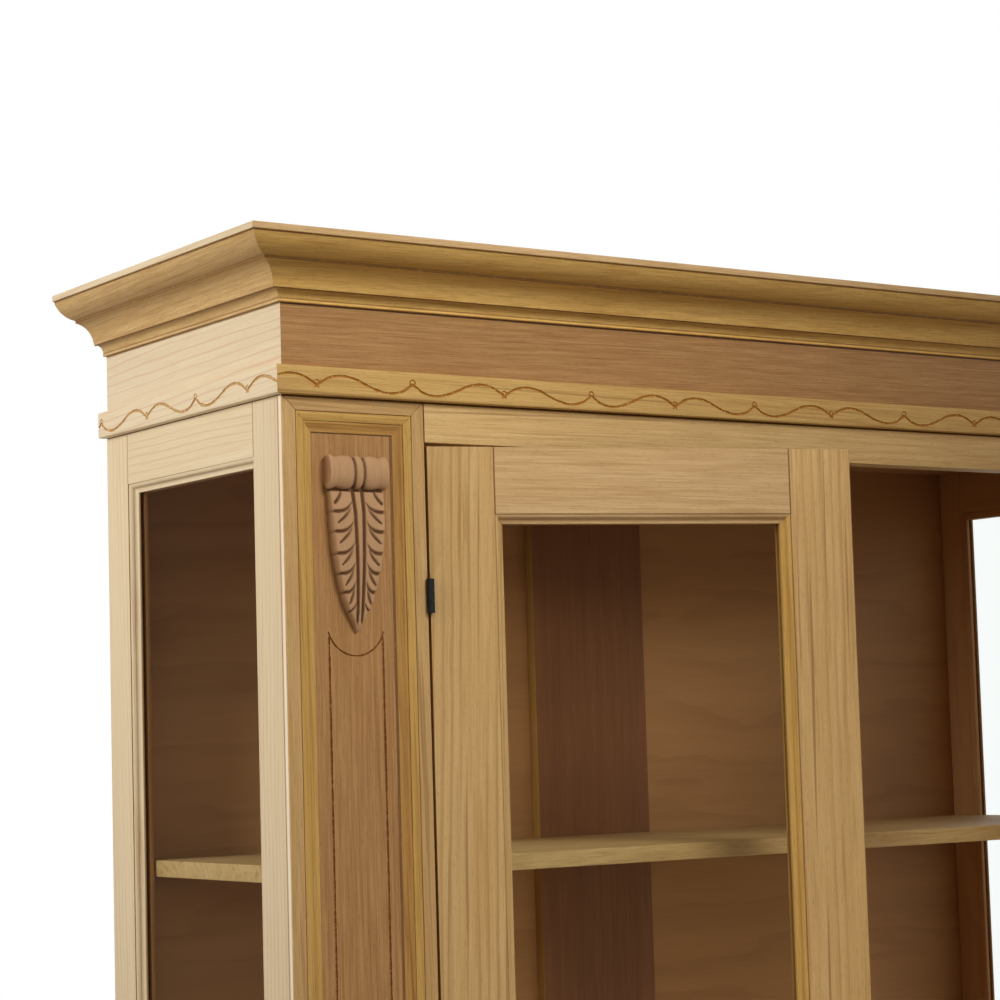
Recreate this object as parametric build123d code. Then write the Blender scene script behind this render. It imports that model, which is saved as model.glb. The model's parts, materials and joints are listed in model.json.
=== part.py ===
"""Display cabinet with two glazed doors, carved cornice and pilasters, in millimetres.

The cabinet stands on Z = 0 with its front towards -Y. The origin is the centre of the
carcass's footprint. The doors are drawn shut and then turned to the pose of the
photograph: the left one ajar, the right one further open.
"""
import math
import os

from build123d import *

# Carcass
WIDTH = 1284.0
DEPTH = 400.0
HEIGHT = 2100.0
HALF = WIDTH / 2
FRONT = -DEPTH / 2
BACK = DEPTH / 2
CARCASS_TOP = 1960.0
BOARD = 18.0
SIDE_THICK = 20.0

# Cornice: frieze, carved trim and crown moulding
TRIM_BOTTOM = 1942.0
TRIM_TOP = 1970.5
TRIM_PROUD = 10.0
TRIM_ARRIS = 0.8
TRIM_FOOT = 1.4
FRIEZE_SETBACK = 1.3
FRIEZE_THICK = 20.0
CROWN_BOTTOM = 2035.0
COVER_THICK = 6.0
FRIEZE_TOP = HEIGHT - 8.0
CROWN_PROUD = 64.0

# Plinth
PLINTH_HIGH = 100.0
PLINTH_THICK = 16.0
BASE_MOULD_TOP = 130.0
BEARER_THICK = 40.0

# Moulded inner edge shared by the doors and the side frames
STICK = 10.0
QUIRK = 1.0
GLASS = 4.0
BEAD_THICK = 5.0
SIGHT_DEPTH = 8.0

# Side frames
SIDE_STILE = 52.0
SIDE_TOP_FLAT = 74.5
SIDE_BOTTOM_FLAT = 190.0

# Pilasters
PILASTER = 167.0
PIL_FRAME_THICK = 8.5
PIL_FRAME_WIDE = 35.5
PIL_RECESS = 6.5
PIL_REBATE = 20.0
PIL_PANEL_THICK = PIL_FRAME_THICK - PIL_RECESS
JAMB = 20.0
FACE_THICK = 30.0

# Face rails and doors
OPENING = HALF - PILASTER
RAIL_BOTTOM = 1900.0
DOOR_TOP = 1896.0
DOOR_BOTTOM = 194.0
DOOR_THICK = 22.0
DOOR_GAP = 1.5
DOOR_STILE = 72.0
DOOR_RAIL = 70.0
DOOR_BOTTOM_RAIL = 120.0
LAP = 12.0
LAP_GAP = 1.0
MEETING_GAP = 2.0
LEFT_DOOR_EDGE = 4.0
SILL_TOP = 190.0
LEFT_AJAR = 16.5
RIGHT_AJAR = 40.0

# Hinges
HINGE_HIGH = 35.0
HINGE_FROM_END = 154.5
KNUCKLE_R = 3.8
PIN_R = 1.5
PIN_RUNNING_GAP = 0.05
PIVOT_PROUD = 4.3
LEAF = 1.5
LEAF_PROUD = 0.3
LEAF_BACK = FRONT + 18.0
KNUCKLE_GAP = 0.4
SCREW_HEAD_R = 2.6
SCREW_R = 1.3
SCREW_LONG = 14.0
SCREW_RISE = 10.0
SCREW_Y = FRONT + 13.0

# Interior
FLOOR_TOP = 186.0
BACK_PANEL_Y = 188.0
BACK_PANEL_THICK = 6.0
BACK_REBATE = 10.0
POST_WIDE = 168.0
POST_PROUD = 15.4
SHELF_TOPS = (583.0, 1028.0, 1473.0)
SHELF_FRONT = -155.0
SHELF_BACK = 171.0
SHELF_END_GAP = 2.0
SHELF_PIN_R = 2.5
SHELF_PIN_IN = 8.0
SHELF_PIN_OUT = 10.0
SHELF_PIN_FRONT_Y = -148.0
SHELF_PIN_BACK_Y = 160.0

# Carved corbel
CORBEL_TOP = 1883.0
CORBEL_ROLL_BOTTOM = 1848.0
CORBEL_TIP = 1705.0
CORBEL_ROLL_WIDE = 68.0
CORBEL_ROLL_DEEP = 18.0
CORBEL_NECK_THICK = 10.0
CORBEL_LEAF_THICK = 14.6
CORBEL_TIP_THICK = 3.0

# Knobs and catches
KNOB_Z = 1010.0
KNOB_R = 14.0
KNOB_LONG = 27.0
CATCH_X = 30.0
CATCH_WIDE = 20.0

PIVOT_X = -OPENING + DOOR_GAP / 2
PIVOT_Y = FRONT - PIVOT_PROUD
HINGE_CENTRES = (
    DOOR_BOTTOM + HINGE_FROM_END,
    (DOOR_BOTTOM + DOOR_TOP) / 2,
    DOOR_TOP - HINGE_FROM_END,
)


def block(x0, x1, y0, y1, z0, z1):
    """A box from its limits along X, Y and Z."""
    centre = Pos((x0 + x1) / 2, (y0 + y1) / 2, (z0 + z1) / 2)
    return centre * Box(abs(x1 - x0), abs(y1 - y0), abs(z1 - z0))


def section(start, *steps):
    """A closed outline: each step is a point, or a pair of an arc's middle and its end."""
    edges = []
    here = start
    for step in steps:
        if isinstance(step[0], tuple):
            edges.append(ThreePointArc(here, step[0], step[1]))
            here = step[1]
        else:
            edges.append(Line(here, step))
            here = step
    edges.append(Line(here, start))
    return make_face(edges)


def mirrored(solid):
    """The same piece on the other half of the cabinet."""
    return mirror(solid, about=Plane.YZ)


def side_plane(name):
    """The outward and upward plane of one side of the carcass."""
    origins = {"front": (0, FRONT, 0), "left": (-HALF, 0, 0), "right": (HALF, 0, 0)}
    outward = {"front": (0, -1, 0), "left": (-1, 0, 0), "right": (1, 0, 0)}
    normals = {"front": (-1, 0, 0), "left": (0, 1, 0), "right": (0, -1, 0)}
    return Plane(origin=origins[name], x_dir=outward[name], z_dir=normals[name])


def mitre(sign):
    """The plane through a front corner of the carcass that faces the front piece."""
    return Plane(origin=(sign * HALF, FRONT, 0), z_dir=(-sign, -1, 0))


def around(profile):
    """Front, left and right runs of one moulding, mitred at the front corners."""
    reach = HALF + CROWN_PROUD * 2
    front = extrude(side_plane("front") * profile, amount=reach, both=True)
    for sign in (-1, 1):
        front = split(front, bisect_by=mitre(sign), keep=Keep.TOP)
    left = extrude(side_plane("left") * profile, amount=reach, both=True)
    left = split(left, bisect_by=mitre(-1), keep=Keep.BOTTOM)
    left = split(left, bisect_by=Plane(origin=(0, BACK, 0), z_dir=(0, 1, 0)), keep=Keep.BOTTOM)
    return front, left, mirrored(left)


def moulded_edge(flat, thick):
    """Section of a frame member: a flat, a bead, a cove and the rebate for the glass."""
    rebate = thick - GLASS - BEAD_THICK
    bead_end = (flat + 4.5, 4.4)
    cove_end = (flat + STICK - 2.0, SIGHT_DEPTH)
    return section(
        (0, 0),
        (flat, 0),
        (flat, QUIRK),
        ((flat + 3.0, 2.15), bead_end),
        (bead_end[0], bead_end[1] + 0.6),
        ((flat + 5.6, 7.0), cove_end),
        (flat + STICK, SIGHT_DEPTH),
        (flat + STICK, rebate),
        (flat, rebate),
        (flat, thick),
        (0, thick),
    )


def member(profile, origin, inward, depth, length):
    """One frame member, from its outer corner, its inward and its depth directions."""
    along = Vector(inward).cross(Vector(depth))
    plane = Plane(origin=origin, x_dir=inward, z_dir=along)
    return extrude(plane * profile, amount=length)


def coped(rail, *stiles):
    """A rail whose ends are cut to the moulded edges of its stiles."""
    for stile in stiles:
        rail = rail - stile
    return rail


# Side frame, drawn for the left side


def side_frame():
    """Stiles, rails, glass and glazing beads of the left side."""
    stile = moulded_edge(SIDE_STILE, SIDE_THICK)
    top = moulded_edge(SIDE_TOP_FLAT, SIDE_THICK)
    bottom = moulded_edge(SIDE_BOTTOM_FLAT, SIDE_THICK)
    front_y = FRONT + PIL_FRAME_THICK
    inner_front = front_y + SIDE_STILE
    inner_back = BACK - SIDE_STILE
    span = inner_back - inner_front
    front = member(stile, (-HALF, front_y, CARCASS_TOP), (0, 1, 0), (1, 0, 0), CARCASS_TOP)
    back = member(stile, (-HALF, BACK, 0), (0, -1, 0), (1, 0, 0), CARCASS_TOP)
    upper = member(top, (-HALF, inner_front, CARCASS_TOP), (0, 0, -1), (1, 0, 0), -span)
    lower = member(bottom, (-HALF, inner_front, 0), (0, 0, 1), (1, 0, 0), span)
    upper = coped(upper, front, back)
    lower = coped(lower, front, back)
    inner_x = -HALF + SIDE_THICK
    rebate = block(inner_x - BACK_REBATE, inner_x, BACK_PANEL_Y, BACK, 0, CARCASS_TOP)
    back = back - rebate
    glass_x = inner_x - GLASS - BEAD_THICK
    low = SIDE_BOTTOM_FLAT
    high = CARCASS_TOP - SIDE_TOP_FLAT
    glass = block(glass_x, glass_x + GLASS, inner_front + 1, inner_back - 1, low + 1, high - 1)
    bead_x = (glass_x + GLASS, inner_x)
    beads = [
        block(*bead_x, inner_front, inner_front + STICK, low, high),
        block(*bead_x, inner_back - STICK, inner_back, low, high),
        block(*bead_x, inner_front + STICK, inner_back - STICK, low, low + STICK),
        block(*bead_x, inner_front + STICK, inner_back - STICK, high - STICK, high),
    ]
    return front, back, upper, lower, glass, beads


# Pilaster, drawn for the left side


def pilaster_moulding():
    """Section of the pilaster frame: a flat, a stepped band and a cove to the panel."""
    step = 15.0
    band = 24.5
    return section(
        (0, 0.6),
        (0.6, 0),
        (step, 0),
        (step + 0.5, 1.0),
        (step + 1.0, 0.3),
        ((step + 5.0, 0.4), (band, 1.8)),
        (band, 2.9),
        (band + 2.5, 2.9),
        ((band + 6.0, 5.2), (PIL_FRAME_WIDE, PIL_RECESS - 0.3)),
        (PIL_FRAME_WIDE, PIL_RECESS),
        (PIL_REBATE, PIL_RECESS),
        (PIL_REBATE, PIL_FRAME_THICK),
        (0, PIL_FRAME_THICK),
    )


def pilaster_frame():
    """Four mitred mouldings round the pilaster's panel, with plain foot and head blocks."""
    profile = pilaster_moulding()
    x0, x1 = -HALF, -HALF + PILASTER
    z0, z1 = BASE_MOULD_TOP, TRIM_BOTTOM
    deep = (0, 1, 0)
    runs = [
        member(profile, (x0, FRONT, z0), (1, 0, 0), deep, z1 - z0),
        member(profile, (x1, FRONT, z1), (-1, 0, 0), deep, z1 - z0),
        member(profile, (x0, FRONT, z1), (0, 0, -1), deep, x1 - x0),
        member(profile, (x1, FRONT, z0), (0, 0, 1), deep, x1 - x0),
    ]
    corners = {
        (0, 0): Plane(origin=(x0, 0, z0), z_dir=(-1, 0, 1)),
        (0, 1): Plane(origin=(x0, 0, z1), z_dir=(-1, 0, -1)),
        (1, 0): Plane(origin=(x1, 0, z0), z_dir=(1, 0, 1)),
        (1, 1): Plane(origin=(x1, 0, z1), z_dir=(1, 0, -1)),
    }
    cuts = (
        (((0, 0), Keep.TOP), ((0, 1), Keep.TOP)),
        (((1, 0), Keep.TOP), ((1, 1), Keep.TOP)),
        (((0, 1), Keep.BOTTOM), ((1, 1), Keep.BOTTOM)),
        (((0, 0), Keep.BOTTOM), ((1, 0), Keep.BOTTOM)),
    )
    pieces = []
    for run, trims in zip(runs, cuts):
        for corner, keep in trims:
            run = split(run, bisect_by=corners[corner], keep=keep)
        pieces.append(run)
    back_y = FRONT + PIL_FRAME_THICK
    pieces.append(block(x0, x1, FRONT, back_y, 0, z0))
    pieces.append(block(x0, x1, FRONT, back_y, z1, CARCASS_TOP))
    return pieces


def corbel():
    """Scroll and tapering leaf of the carved bracket, before its veins are cut."""
    centre_x = -HALF + PILASTER / 2
    panel_y = FRONT + PIL_RECESS
    roll_mid = (CORBEL_TOP + CORBEL_ROLL_BOTTOM) / 2
    roll_high = CORBEL_TOP - CORBEL_ROLL_BOTTOM
    roll = Ellipse(CORBEL_ROLL_DEEP / 2, roll_high / 2)
    roll_plane = Plane(
        origin=(centre_x - CORBEL_ROLL_WIDE / 2, panel_y - CORBEL_ROLL_DEEP / 2, roll_mid),
        x_dir=(0, 1, 0),
        z_dir=(1, 0, 0),
    )
    scroll = extrude(roll_plane * roll, amount=CORBEL_ROLL_WIDE)
    scroll_back = block(
        centre_x - CORBEL_ROLL_WIDE / 2,
        centre_x + CORBEL_ROLL_WIDE / 2,
        panel_y - CORBEL_ROLL_DEEP / 2,
        panel_y,
        CORBEL_ROLL_BOTTOM + 4,
        CORBEL_TOP - 4,
    )
    half_widths = ((31.8, 1856.0), (30.4, 1825.0), (27.0, 1781.0), (21.4, 1757.0), (12.0, 1727.0))
    right_side = [(x, z) for x, z in half_widths]
    left_side = [(-x, z) for x, z in half_widths]
    tip = (0.0, CORBEL_TIP)
    edges = [
        Spline(right_side + [tip]),
        Spline(left_side + [tip]),
        Line(left_side[0], right_side[0]),
    ]
    leaf_plane = Plane(origin=(centre_x, panel_y, 0), x_dir=(1, 0, 0), z_dir=(0, -1, 0))
    leaf = extrude(leaf_plane * make_face(edges), amount=CORBEL_ROLL_DEEP)
    neck_z = half_widths[0][1]
    swell = [
        (-CORBEL_TIP_THICK, CORBEL_TIP),
        (-CORBEL_LEAF_THICK * 0.74, 1728.0),
        (-CORBEL_LEAF_THICK * 0.95, 1760.0),
        (-CORBEL_LEAF_THICK, 1800.0),
        (-CORBEL_NECK_THICK, neck_z),
    ]
    side_face = make_face(
        [
            Spline(swell),
            Line(swell[-1], (0, neck_z)),
            Line((0, neck_z), (0, CORBEL_TIP)),
            Line((0, CORBEL_TIP), swell[0]),
        ]
    )
    side_plane = Plane(
        origin=(centre_x - CORBEL_ROLL_WIDE / 2, panel_y, 0), x_dir=(0, 1, 0), z_dir=(1, 0, 0)
    )
    leaf = leaf & extrude(side_plane * side_face, amount=CORBEL_ROLL_WIDE)
    return scroll + scroll_back + leaf


# Hinges, catches and knobs, drawn for the left door


def drum(radius, z0, z1, bore=0.0):
    """An upright knuckle or pin on the hinge axis."""
    shape = Pos(PIVOT_X, PIVOT_Y, (z0 + z1) / 2) * Cylinder(radius, z1 - z0)
    if bore:
        shape = shape - Pos(PIVOT_X, PIVOT_Y, (z0 + z1) / 2) * Cylinder(bore, z1 - z0 + 2)
    return shape


def screw(x, direction, z):
    """A countersunk screw whose head is flush with a leaf at X, driven along X."""
    turn = Rot(0, 90 * direction, 0)
    head = Pos(0, 0, LEAF / 2) * Cone(SCREW_HEAD_R, SCREW_R, LEAF)
    shank = Pos(0, 0, LEAF + SCREW_LONG / 2) * Cylinder(SCREW_R, SCREW_LONG)
    return Pos(x, SCREW_Y, z) * turn * (head + shank)


def hinge(centre):
    """Frame leaf, door leaf, pin and both pairs of screws of one butt hinge."""
    z0, z1 = centre - HINGE_HIGH / 2, centre + HINGE_HIGH / 2
    third = HINGE_HIGH / 3
    mid0, mid1 = z0 + third, z1 - third
    frame_x1 = -OPENING + LEAF_PROUD
    frame_x0 = frame_x1 - LEAF
    door_x0 = -OPENING + DOOR_GAP - LEAF_PROUD
    door_x1 = door_x0 + LEAF
    frame_leaf = block(frame_x0, frame_x1, FRONT, LEAF_BACK, z0, z1)
    for low, high in ((z0, mid0), (mid1, z1)):
        frame_leaf = frame_leaf + block(frame_x0, frame_x1, PIVOT_Y, FRONT, low, high)
        frame_leaf = frame_leaf + drum(KNUCKLE_R, low, high)
    frame_leaf = frame_leaf - drum(PIN_R, z0 - 1, z1 + 1)
    door_low, door_high = mid0 + KNUCKLE_GAP, mid1 - KNUCKLE_GAP
    door_leaf = block(door_x0, door_x1, FRONT, LEAF_BACK, z0, z1)
    door_leaf = door_leaf + block(door_x0, door_x1, PIVOT_Y, FRONT, door_low, door_high)
    door_leaf = door_leaf + drum(KNUCKLE_R, door_low, door_high)
    door_leaf = door_leaf - drum(PIN_R + PIN_RUNNING_GAP, z0 - 1, z1 + 1)
    pin = drum(PIN_R, z0, z1)
    frame_screws = [screw(frame_x1, -1, centre + s * SCREW_RISE) for s in (-1, 1)]
    door_screws = [screw(door_x0, 1, centre + s * SCREW_RISE) for s in (-1, 1)]
    for item in frame_screws:
        frame_leaf = frame_leaf - item
    for item in door_screws:
        door_leaf = door_leaf - item
    return frame_leaf, door_leaf, pin, frame_screws, door_screws


def knob(x):
    """A turned knob with a collar, on the front face of a door."""
    outline = section(
        (0, 0),
        (9.0, 0),
        (9.0, 2.6),
        (5.2, 3.4),
        ((4.6, 7.5), (6.4, 11.5)),
        ((KNOB_R, 19.0), (7.0, KNOB_LONG - 1.0)),
        (2.5, KNOB_LONG),
        (0, KNOB_LONG),
    )
    turned = revolve(Plane.XZ * outline, axis=Axis.Z)
    return Pos(x, FRONT, KNOB_Z) * Rot(90, 0, 0) * turned


def catch():
    """A magnetic catch under the top rail, with its plate against the rail's back."""
    x0, x1 = -CATCH_X - CATCH_WIDE / 2, -CATCH_X + CATCH_WIDE / 2
    door_back = FRONT + DOOR_THICK
    rail_back = FRONT + FACE_THICK
    body = block(x0, x1, door_back + 2.0, rail_back + 12.0, RAIL_BOTTOM - 18.0, RAIL_BOTTOM)
    plate = block(x0, x1, rail_back, rail_back + 3.0, RAIL_BOTTOM - 2.0, RAIL_BOTTOM + 24.0)
    return body + plate


def strike():
    """The steel plate that the catch holds, on the back of the door."""
    door_back = FRONT + DOOR_THICK
    x0, x1 = -CATCH_X - 8.0, -CATCH_X + 8.0
    return block(x0, x1, door_back, door_back + 1.2, RAIL_BOTTOM - 17.0, RAIL_BOTTOM - 6.0)


# A door, drawn shut on the left side


def door(edge, front_lap):
    """One door's pieces, shut, from its hinge edge to the X of its meeting edge."""
    x0 = -OPENING + DOOR_GAP
    x1 = edge
    high = DOOR_TOP - DOOR_BOTTOM
    deep = (0, 1, 0)
    stile = moulded_edge(DOOR_STILE, DOOR_THICK)
    top = moulded_edge(DOOR_RAIL, DOOR_THICK)
    bottom = moulded_edge(DOOR_BOTTOM_RAIL, DOOR_THICK)
    hinge_stile = member(stile, (x0, FRONT, DOOR_BOTTOM), (1, 0, 0), deep, high)
    meeting_stile = member(stile, (x1, FRONT, DOOR_TOP), (-1, 0, 0), deep, high)
    inner0, inner1 = x0 + DOOR_STILE, x1 - DOOR_STILE
    span = inner1 - inner0
    top_rail = member(top, (inner0, FRONT, DOOR_TOP), (0, 0, -1), deep, span)
    bottom_rail = member(bottom, (inner1, FRONT, DOOR_BOTTOM), (0, 0, 1), deep, span)
    top_rail = coped(top_rail, hinge_stile, meeting_stile)
    bottom_rail = coped(bottom_rail, hinge_stile, meeting_stile)
    middle = FRONT + DOOR_THICK / 2
    back_y = FRONT + DOOR_THICK
    if front_lap:
        cut = block(x1 - LAP, x1, middle - LAP_GAP / 2, back_y, DOOR_BOTTOM, DOOR_TOP)
    else:
        cut = block(x1 - LAP, x1, FRONT, middle + LAP_GAP / 2, DOOR_BOTTOM, DOOR_TOP)
    meeting_stile = meeting_stile - cut
    glass_y = back_y - BEAD_THICK - GLASS
    low, top_z = DOOR_BOTTOM + DOOR_BOTTOM_RAIL, DOOR_TOP - DOOR_RAIL
    glass = block(inner0 + 1, inner1 - 1, glass_y, glass_y + GLASS, low + 1, top_z - 1)
    bead_y = (back_y - BEAD_THICK, back_y)
    beads = [
        block(inner0, inner0 + STICK, *bead_y, low, top_z),
        block(inner1 - STICK, inner1, *bead_y, low, top_z),
        block(inner0 + STICK, inner1 - STICK, *bead_y, low, low + STICK),
        block(inner0 + STICK, inner1 - STICK, *bead_y, top_z - STICK, top_z),
    ]
    return {
        "hinge_stile": [hinge_stile],
        "meeting_stile": [meeting_stile],
        "top_rail": [top_rail],
        "bottom_rail": [bottom_rail],
        "glass": [glass],
        "glazing_beads": beads,
    }


def turned_open(solids, angle):
    """The left door's solids turned open about the hinge axis."""
    axis = Axis((PIVOT_X, PIVOT_Y, 0), (0, 0, 1))
    return [solid.rotate(axis, -angle) for solid in solids]


parts = {}

# Sides
front_stile, back_stile, side_top, side_bottom, side_glass, side_beads = side_frame()
pin_holes = []
for top_z in SHELF_TOPS:
    pin_z = top_z - BOARD - SHELF_PIN_R
    for y in (SHELF_PIN_FRONT_Y, SHELF_PIN_BACK_Y):
        long = SHELF_PIN_IN + SHELF_PIN_OUT
        x = -HALF + SIDE_THICK - SHELF_PIN_IN + long / 2
        pin_holes.append(Pos(x, y, pin_z) * Rot(0, 90, 0) * Cylinder(SHELF_PIN_R, long))
for pin in pin_holes:
    front_stile = front_stile - pin
    back_stile = back_stile - pin
side_pieces = {
    "front_stile": front_stile,
    "back_stile": back_stile,
    "top_rail": side_top,
    "bottom_rail": side_bottom,
    "glass": side_glass,
}
for name, solid in side_pieces.items():
    parts["side_left_" + name] = [solid]
    parts["side_right_" + name] = [mirrored(solid)]
parts["side_glazing_beads"] = side_beads + [mirrored(bead) for bead in side_beads]

# Pilasters, face frame and hinges
hinges = [hinge(centre) for centre in HINGE_CENTRES]
frame_leaves = [item[0] for item in hinges]
door_leaves = [item[1] for item in hinges]
hinge_pins = [item[2] for item in hinges]
frame_screws = [screw_item for item in hinges for screw_item in item[3]]
door_screws = [screw_item for item in hinges for screw_item in item[4]]

board_y = FRONT + PIL_FRAME_THICK
board_x = (-HALF + SIDE_THICK, -OPENING - JAMB)
pilaster_board = block(*board_x, board_y, board_y + BOARD, 0, CARCASS_TOP)
pilaster_panel = block(
    *board_x,
    FRONT + PIL_RECESS,
    board_y,
    BASE_MOULD_TOP + PIL_REBATE,
    TRIM_BOTTOM - PIL_REBATE,
)
jamb = block(-OPENING - JAMB, -OPENING, board_y, board_y + FACE_THICK, 0, CARCASS_TOP)
mouldings = pilaster_frame()
for leaf in frame_leaves + frame_screws:
    jamb = jamb - leaf
    mouldings[1] = mouldings[1] - leaf
parts["pilaster_boards"] = [pilaster_board, mirrored(pilaster_board)]
parts["pilaster_panel_left"] = [pilaster_panel]
parts["pilaster_panel_right"] = [mirrored(pilaster_panel)]
parts["pilaster_frame_left"] = mouldings
parts["pilaster_frame_right"] = [mirrored(piece) for piece in mouldings]
parts["corbel_left"] = [corbel()]
parts["corbel_right"] = [mirrored(corbel())]
parts["hinge_jambs"] = [jamb, mirrored(jamb)]
face_back = FRONT + FACE_THICK
parts["face_rail_top"] = [block(-OPENING, OPENING, FRONT, face_back, RAIL_BOTTOM, CARCASS_TOP)]
parts["face_rail_bottom"] = [block(-OPENING, OPENING, FRONT, face_back, 20.0, SILL_TOP)]
hinge_halves = frame_leaves + frame_screws
parts["hinge_frame_leaves"] = hinge_halves + [mirrored(item) for item in hinge_halves]
parts["hinge_pins"] = hinge_pins + [mirrored(pin) for pin in hinge_pins]
catches = catch()
parts["magnetic_catches"] = [catches, mirrored(catches)]

# Boards and back
inner = HALF - SIDE_THICK
for name, top_z in (("top_board", CARCASS_TOP), ("bottom_board", FLOOR_TOP)):
    board = block(-inner, inner, face_back, BACK_PANEL_Y, top_z - BOARD, top_z)
    parts[name] = [board - jamb - mirrored(jamb)]
back_edge = inner + BACK_REBATE - 1
back_y = (BACK_PANEL_Y, BACK_PANEL_Y + BACK_PANEL_THICK)
back_panel = block(-back_edge, -0.5, *back_y, FLOOR_TOP - BOARD, CARCASS_TOP)
parts["back_panels"] = [back_panel, mirrored(back_panel)]
post_front = BACK_PANEL_Y - POST_PROUD
post = block(-POST_WIDE / 2, POST_WIDE / 2, post_front, BACK_PANEL_Y, FLOOR_TOP, TRIM_BOTTOM)

# Shelves on pins
shelf_pins = pin_holes + [mirrored(pin) for pin in pin_holes]
for top_z, name in zip(SHELF_TOPS, ("lower", "middle", "upper")):
    shelf = block(
        -inner + SHELF_END_GAP,
        inner - SHELF_END_GAP,
        SHELF_FRONT,
        SHELF_BACK,
        top_z - BOARD,
        top_z,
    )
    parts["shelf_" + name] = [shelf]
    pin_z = top_z - BOARD - SHELF_PIN_R
    long = SHELF_PIN_IN + SHELF_PIN_OUT
    y = post_front - SHELF_PIN_OUT + long / 2
    centre_pin = Pos(0, y, pin_z) * Rot(90, 0, 0) * Cylinder(SHELF_PIN_R, long)
    post = post - centre_pin
    shelf_pins.append(centre_pin)
parts["centre_post"] = [post]
parts["shelf_pins"] = shelf_pins

# Cornice
trim_profile = section(
    (0, TRIM_BOTTOM),
    (TRIM_PROUD - TRIM_FOOT, TRIM_BOTTOM),
    (TRIM_PROUD, TRIM_BOTTOM + TRIM_FOOT),
    (TRIM_PROUD, TRIM_TOP - TRIM_ARRIS),
    (TRIM_PROUD - TRIM_ARRIS, TRIM_TOP),
    (-FRIEZE_SETBACK, TRIM_TOP),
    (-FRIEZE_SETBACK, CARCASS_TOP),
    (0, CARCASS_TOP),
)
frieze_profile = section(
    (-FRIEZE_SETBACK, CARCASS_TOP),
    (-FRIEZE_SETBACK, FRIEZE_TOP),
    (-FRIEZE_SETBACK - FRIEZE_THICK, FRIEZE_TOP),
    (-FRIEZE_SETBACK - FRIEZE_THICK, CARCASS_TOP),
)
crown_profile = section(
    (-FRIEZE_SETBACK, CROWN_BOTTOM),
    (1.8, CROWN_BOTTOM),
    ((3.2, 2036.2), (2.6, 2037.6)),
    ((4.6, 2043.8), (11.0, 2047.3)),
    (14.0, 2047.3),
    ((19.8, 2061.6), (36.3, 2070.6)),
    (36.8, 2073.5),
    ((50.6, 2078.6), (61.5, 2091.4)),
    (63.6, 2092.0),
    (CROWN_PROUD, 2093.0),
    (CROWN_PROUD, HEIGHT - 1.0),
    (CROWN_PROUD - 1.0, HEIGHT),
    (-FRIEZE_SETBACK, HEIGHT),
)
trim_front, trim_left, trim_right = around(trim_profile)
parts["carved_trim_front"] = [trim_front]
parts["carved_trim_sides"] = [trim_left, trim_right]
frieze_front, frieze_left, frieze_right = around(frieze_profile)
back_board_y = BACK - FRIEZE_THICK
frieze_inner = HALF - FRIEZE_SETBACK - FRIEZE_THICK
parts["frieze_front"] = [frieze_front]
parts["frieze_sides"] = [frieze_left, frieze_right]
parts["cornice_back_board"] = [
    block(-frieze_inner, frieze_inner, back_board_y, BACK, CARCASS_TOP, FRIEZE_TOP)
]
crown_front, crown_left, crown_right = around(crown_profile)
parts["crown_front"] = [crown_front]
parts["crown_sides"] = [crown_left, crown_right]
cover = HALF - FRIEZE_SETBACK
cover_top = FRIEZE_TOP + COVER_THICK
parts["dust_cover"] = [
    block(-cover, cover, FRONT + FRIEZE_SETBACK, BACK, FRIEZE_TOP, cover_top)
]

# Plinth
plinth_profile = section((0, 0), (PLINTH_THICK, 0), (PLINTH_THICK, PLINTH_HIGH), (0, PLINTH_HIGH))
base_profile = section(
    (0, PLINTH_HIGH),
    (PLINTH_THICK, PLINTH_HIGH),
    (PLINTH_THICK, PLINTH_HIGH + 4.0),
    (PLINTH_THICK - 2.0, PLINTH_HIGH + 4.0),
    ((11.0, PLINTH_HIGH + 12.5), (5.5, PLINTH_HIGH + 20.0)),
    (5.5, PLINTH_HIGH + 22.0),
    ((4.4, PLINTH_HIGH + 27.0), (1.5, BASE_MOULD_TOP)),
    (0, BASE_MOULD_TOP),
)
bearer_x = BEARER_THICK / 2
bearer = block(-bearer_x, bearer_x, face_back, BACK_PANEL_Y, 0, FLOOR_TOP - BOARD)
parts["plinth"] = list(around(plinth_profile)) + [bearer]
parts["base_moulding"] = list(around(base_profile))

# Doors: the right one is drawn as a left one, turned open, and mirrored
door_specs = (
    ("left", LEFT_DOOR_EDGE, True, LEFT_AJAR, LEFT_DOOR_EDGE - DOOR_STILE / 2),
    (
        "right",
        LAP - LEFT_DOOR_EDGE - MEETING_GAP,
        False,
        RIGHT_AJAR,
        -LEFT_DOOR_EDGE - MEETING_GAP - (DOOR_STILE - LAP) / 2,
    ),
)
for side, edge, front_lap, angle, knob_x in door_specs:
    pieces = door(edge, front_lap)
    for item in door_leaves + door_screws:
        pieces["hinge_stile"] = [pieces["hinge_stile"][0] - item]
    pieces["hinge_leaves"] = door_leaves + door_screws
    pieces["knob"] = [knob(knob_x)]
    pieces["strike_plate"] = [strike()]
    for name, solids in pieces.items():
        placed = turned_open(solids, angle)
        if side == "right":
            placed = [mirrored(solid) for solid in placed]
        parts[side + "_door_" + name] = placed

os.makedirs("parts", exist_ok=True)
for name, solids in parts.items():
    piece = solids[0] if len(solids) == 1 else Compound(children=[each.solid() for each in solids])
    export_step(piece, f"parts/{name}.step")
print(len(parts), "parts; hinge axis", PIVOT_X, PIVOT_Y)
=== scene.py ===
"""Looks of a glazed display cabinet in raw wood, with a carved cornice and pilasters.

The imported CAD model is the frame. Boards, mouldings, carving, glass and steel are
built round it here, in metres, and each piece rides on the body that carries it.
"""
import json
import logging
import math
import random
from collections.abc import Callable, Iterator
from contextlib import contextmanager
from dataclasses import dataclass, replace
from enum import Enum

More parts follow.
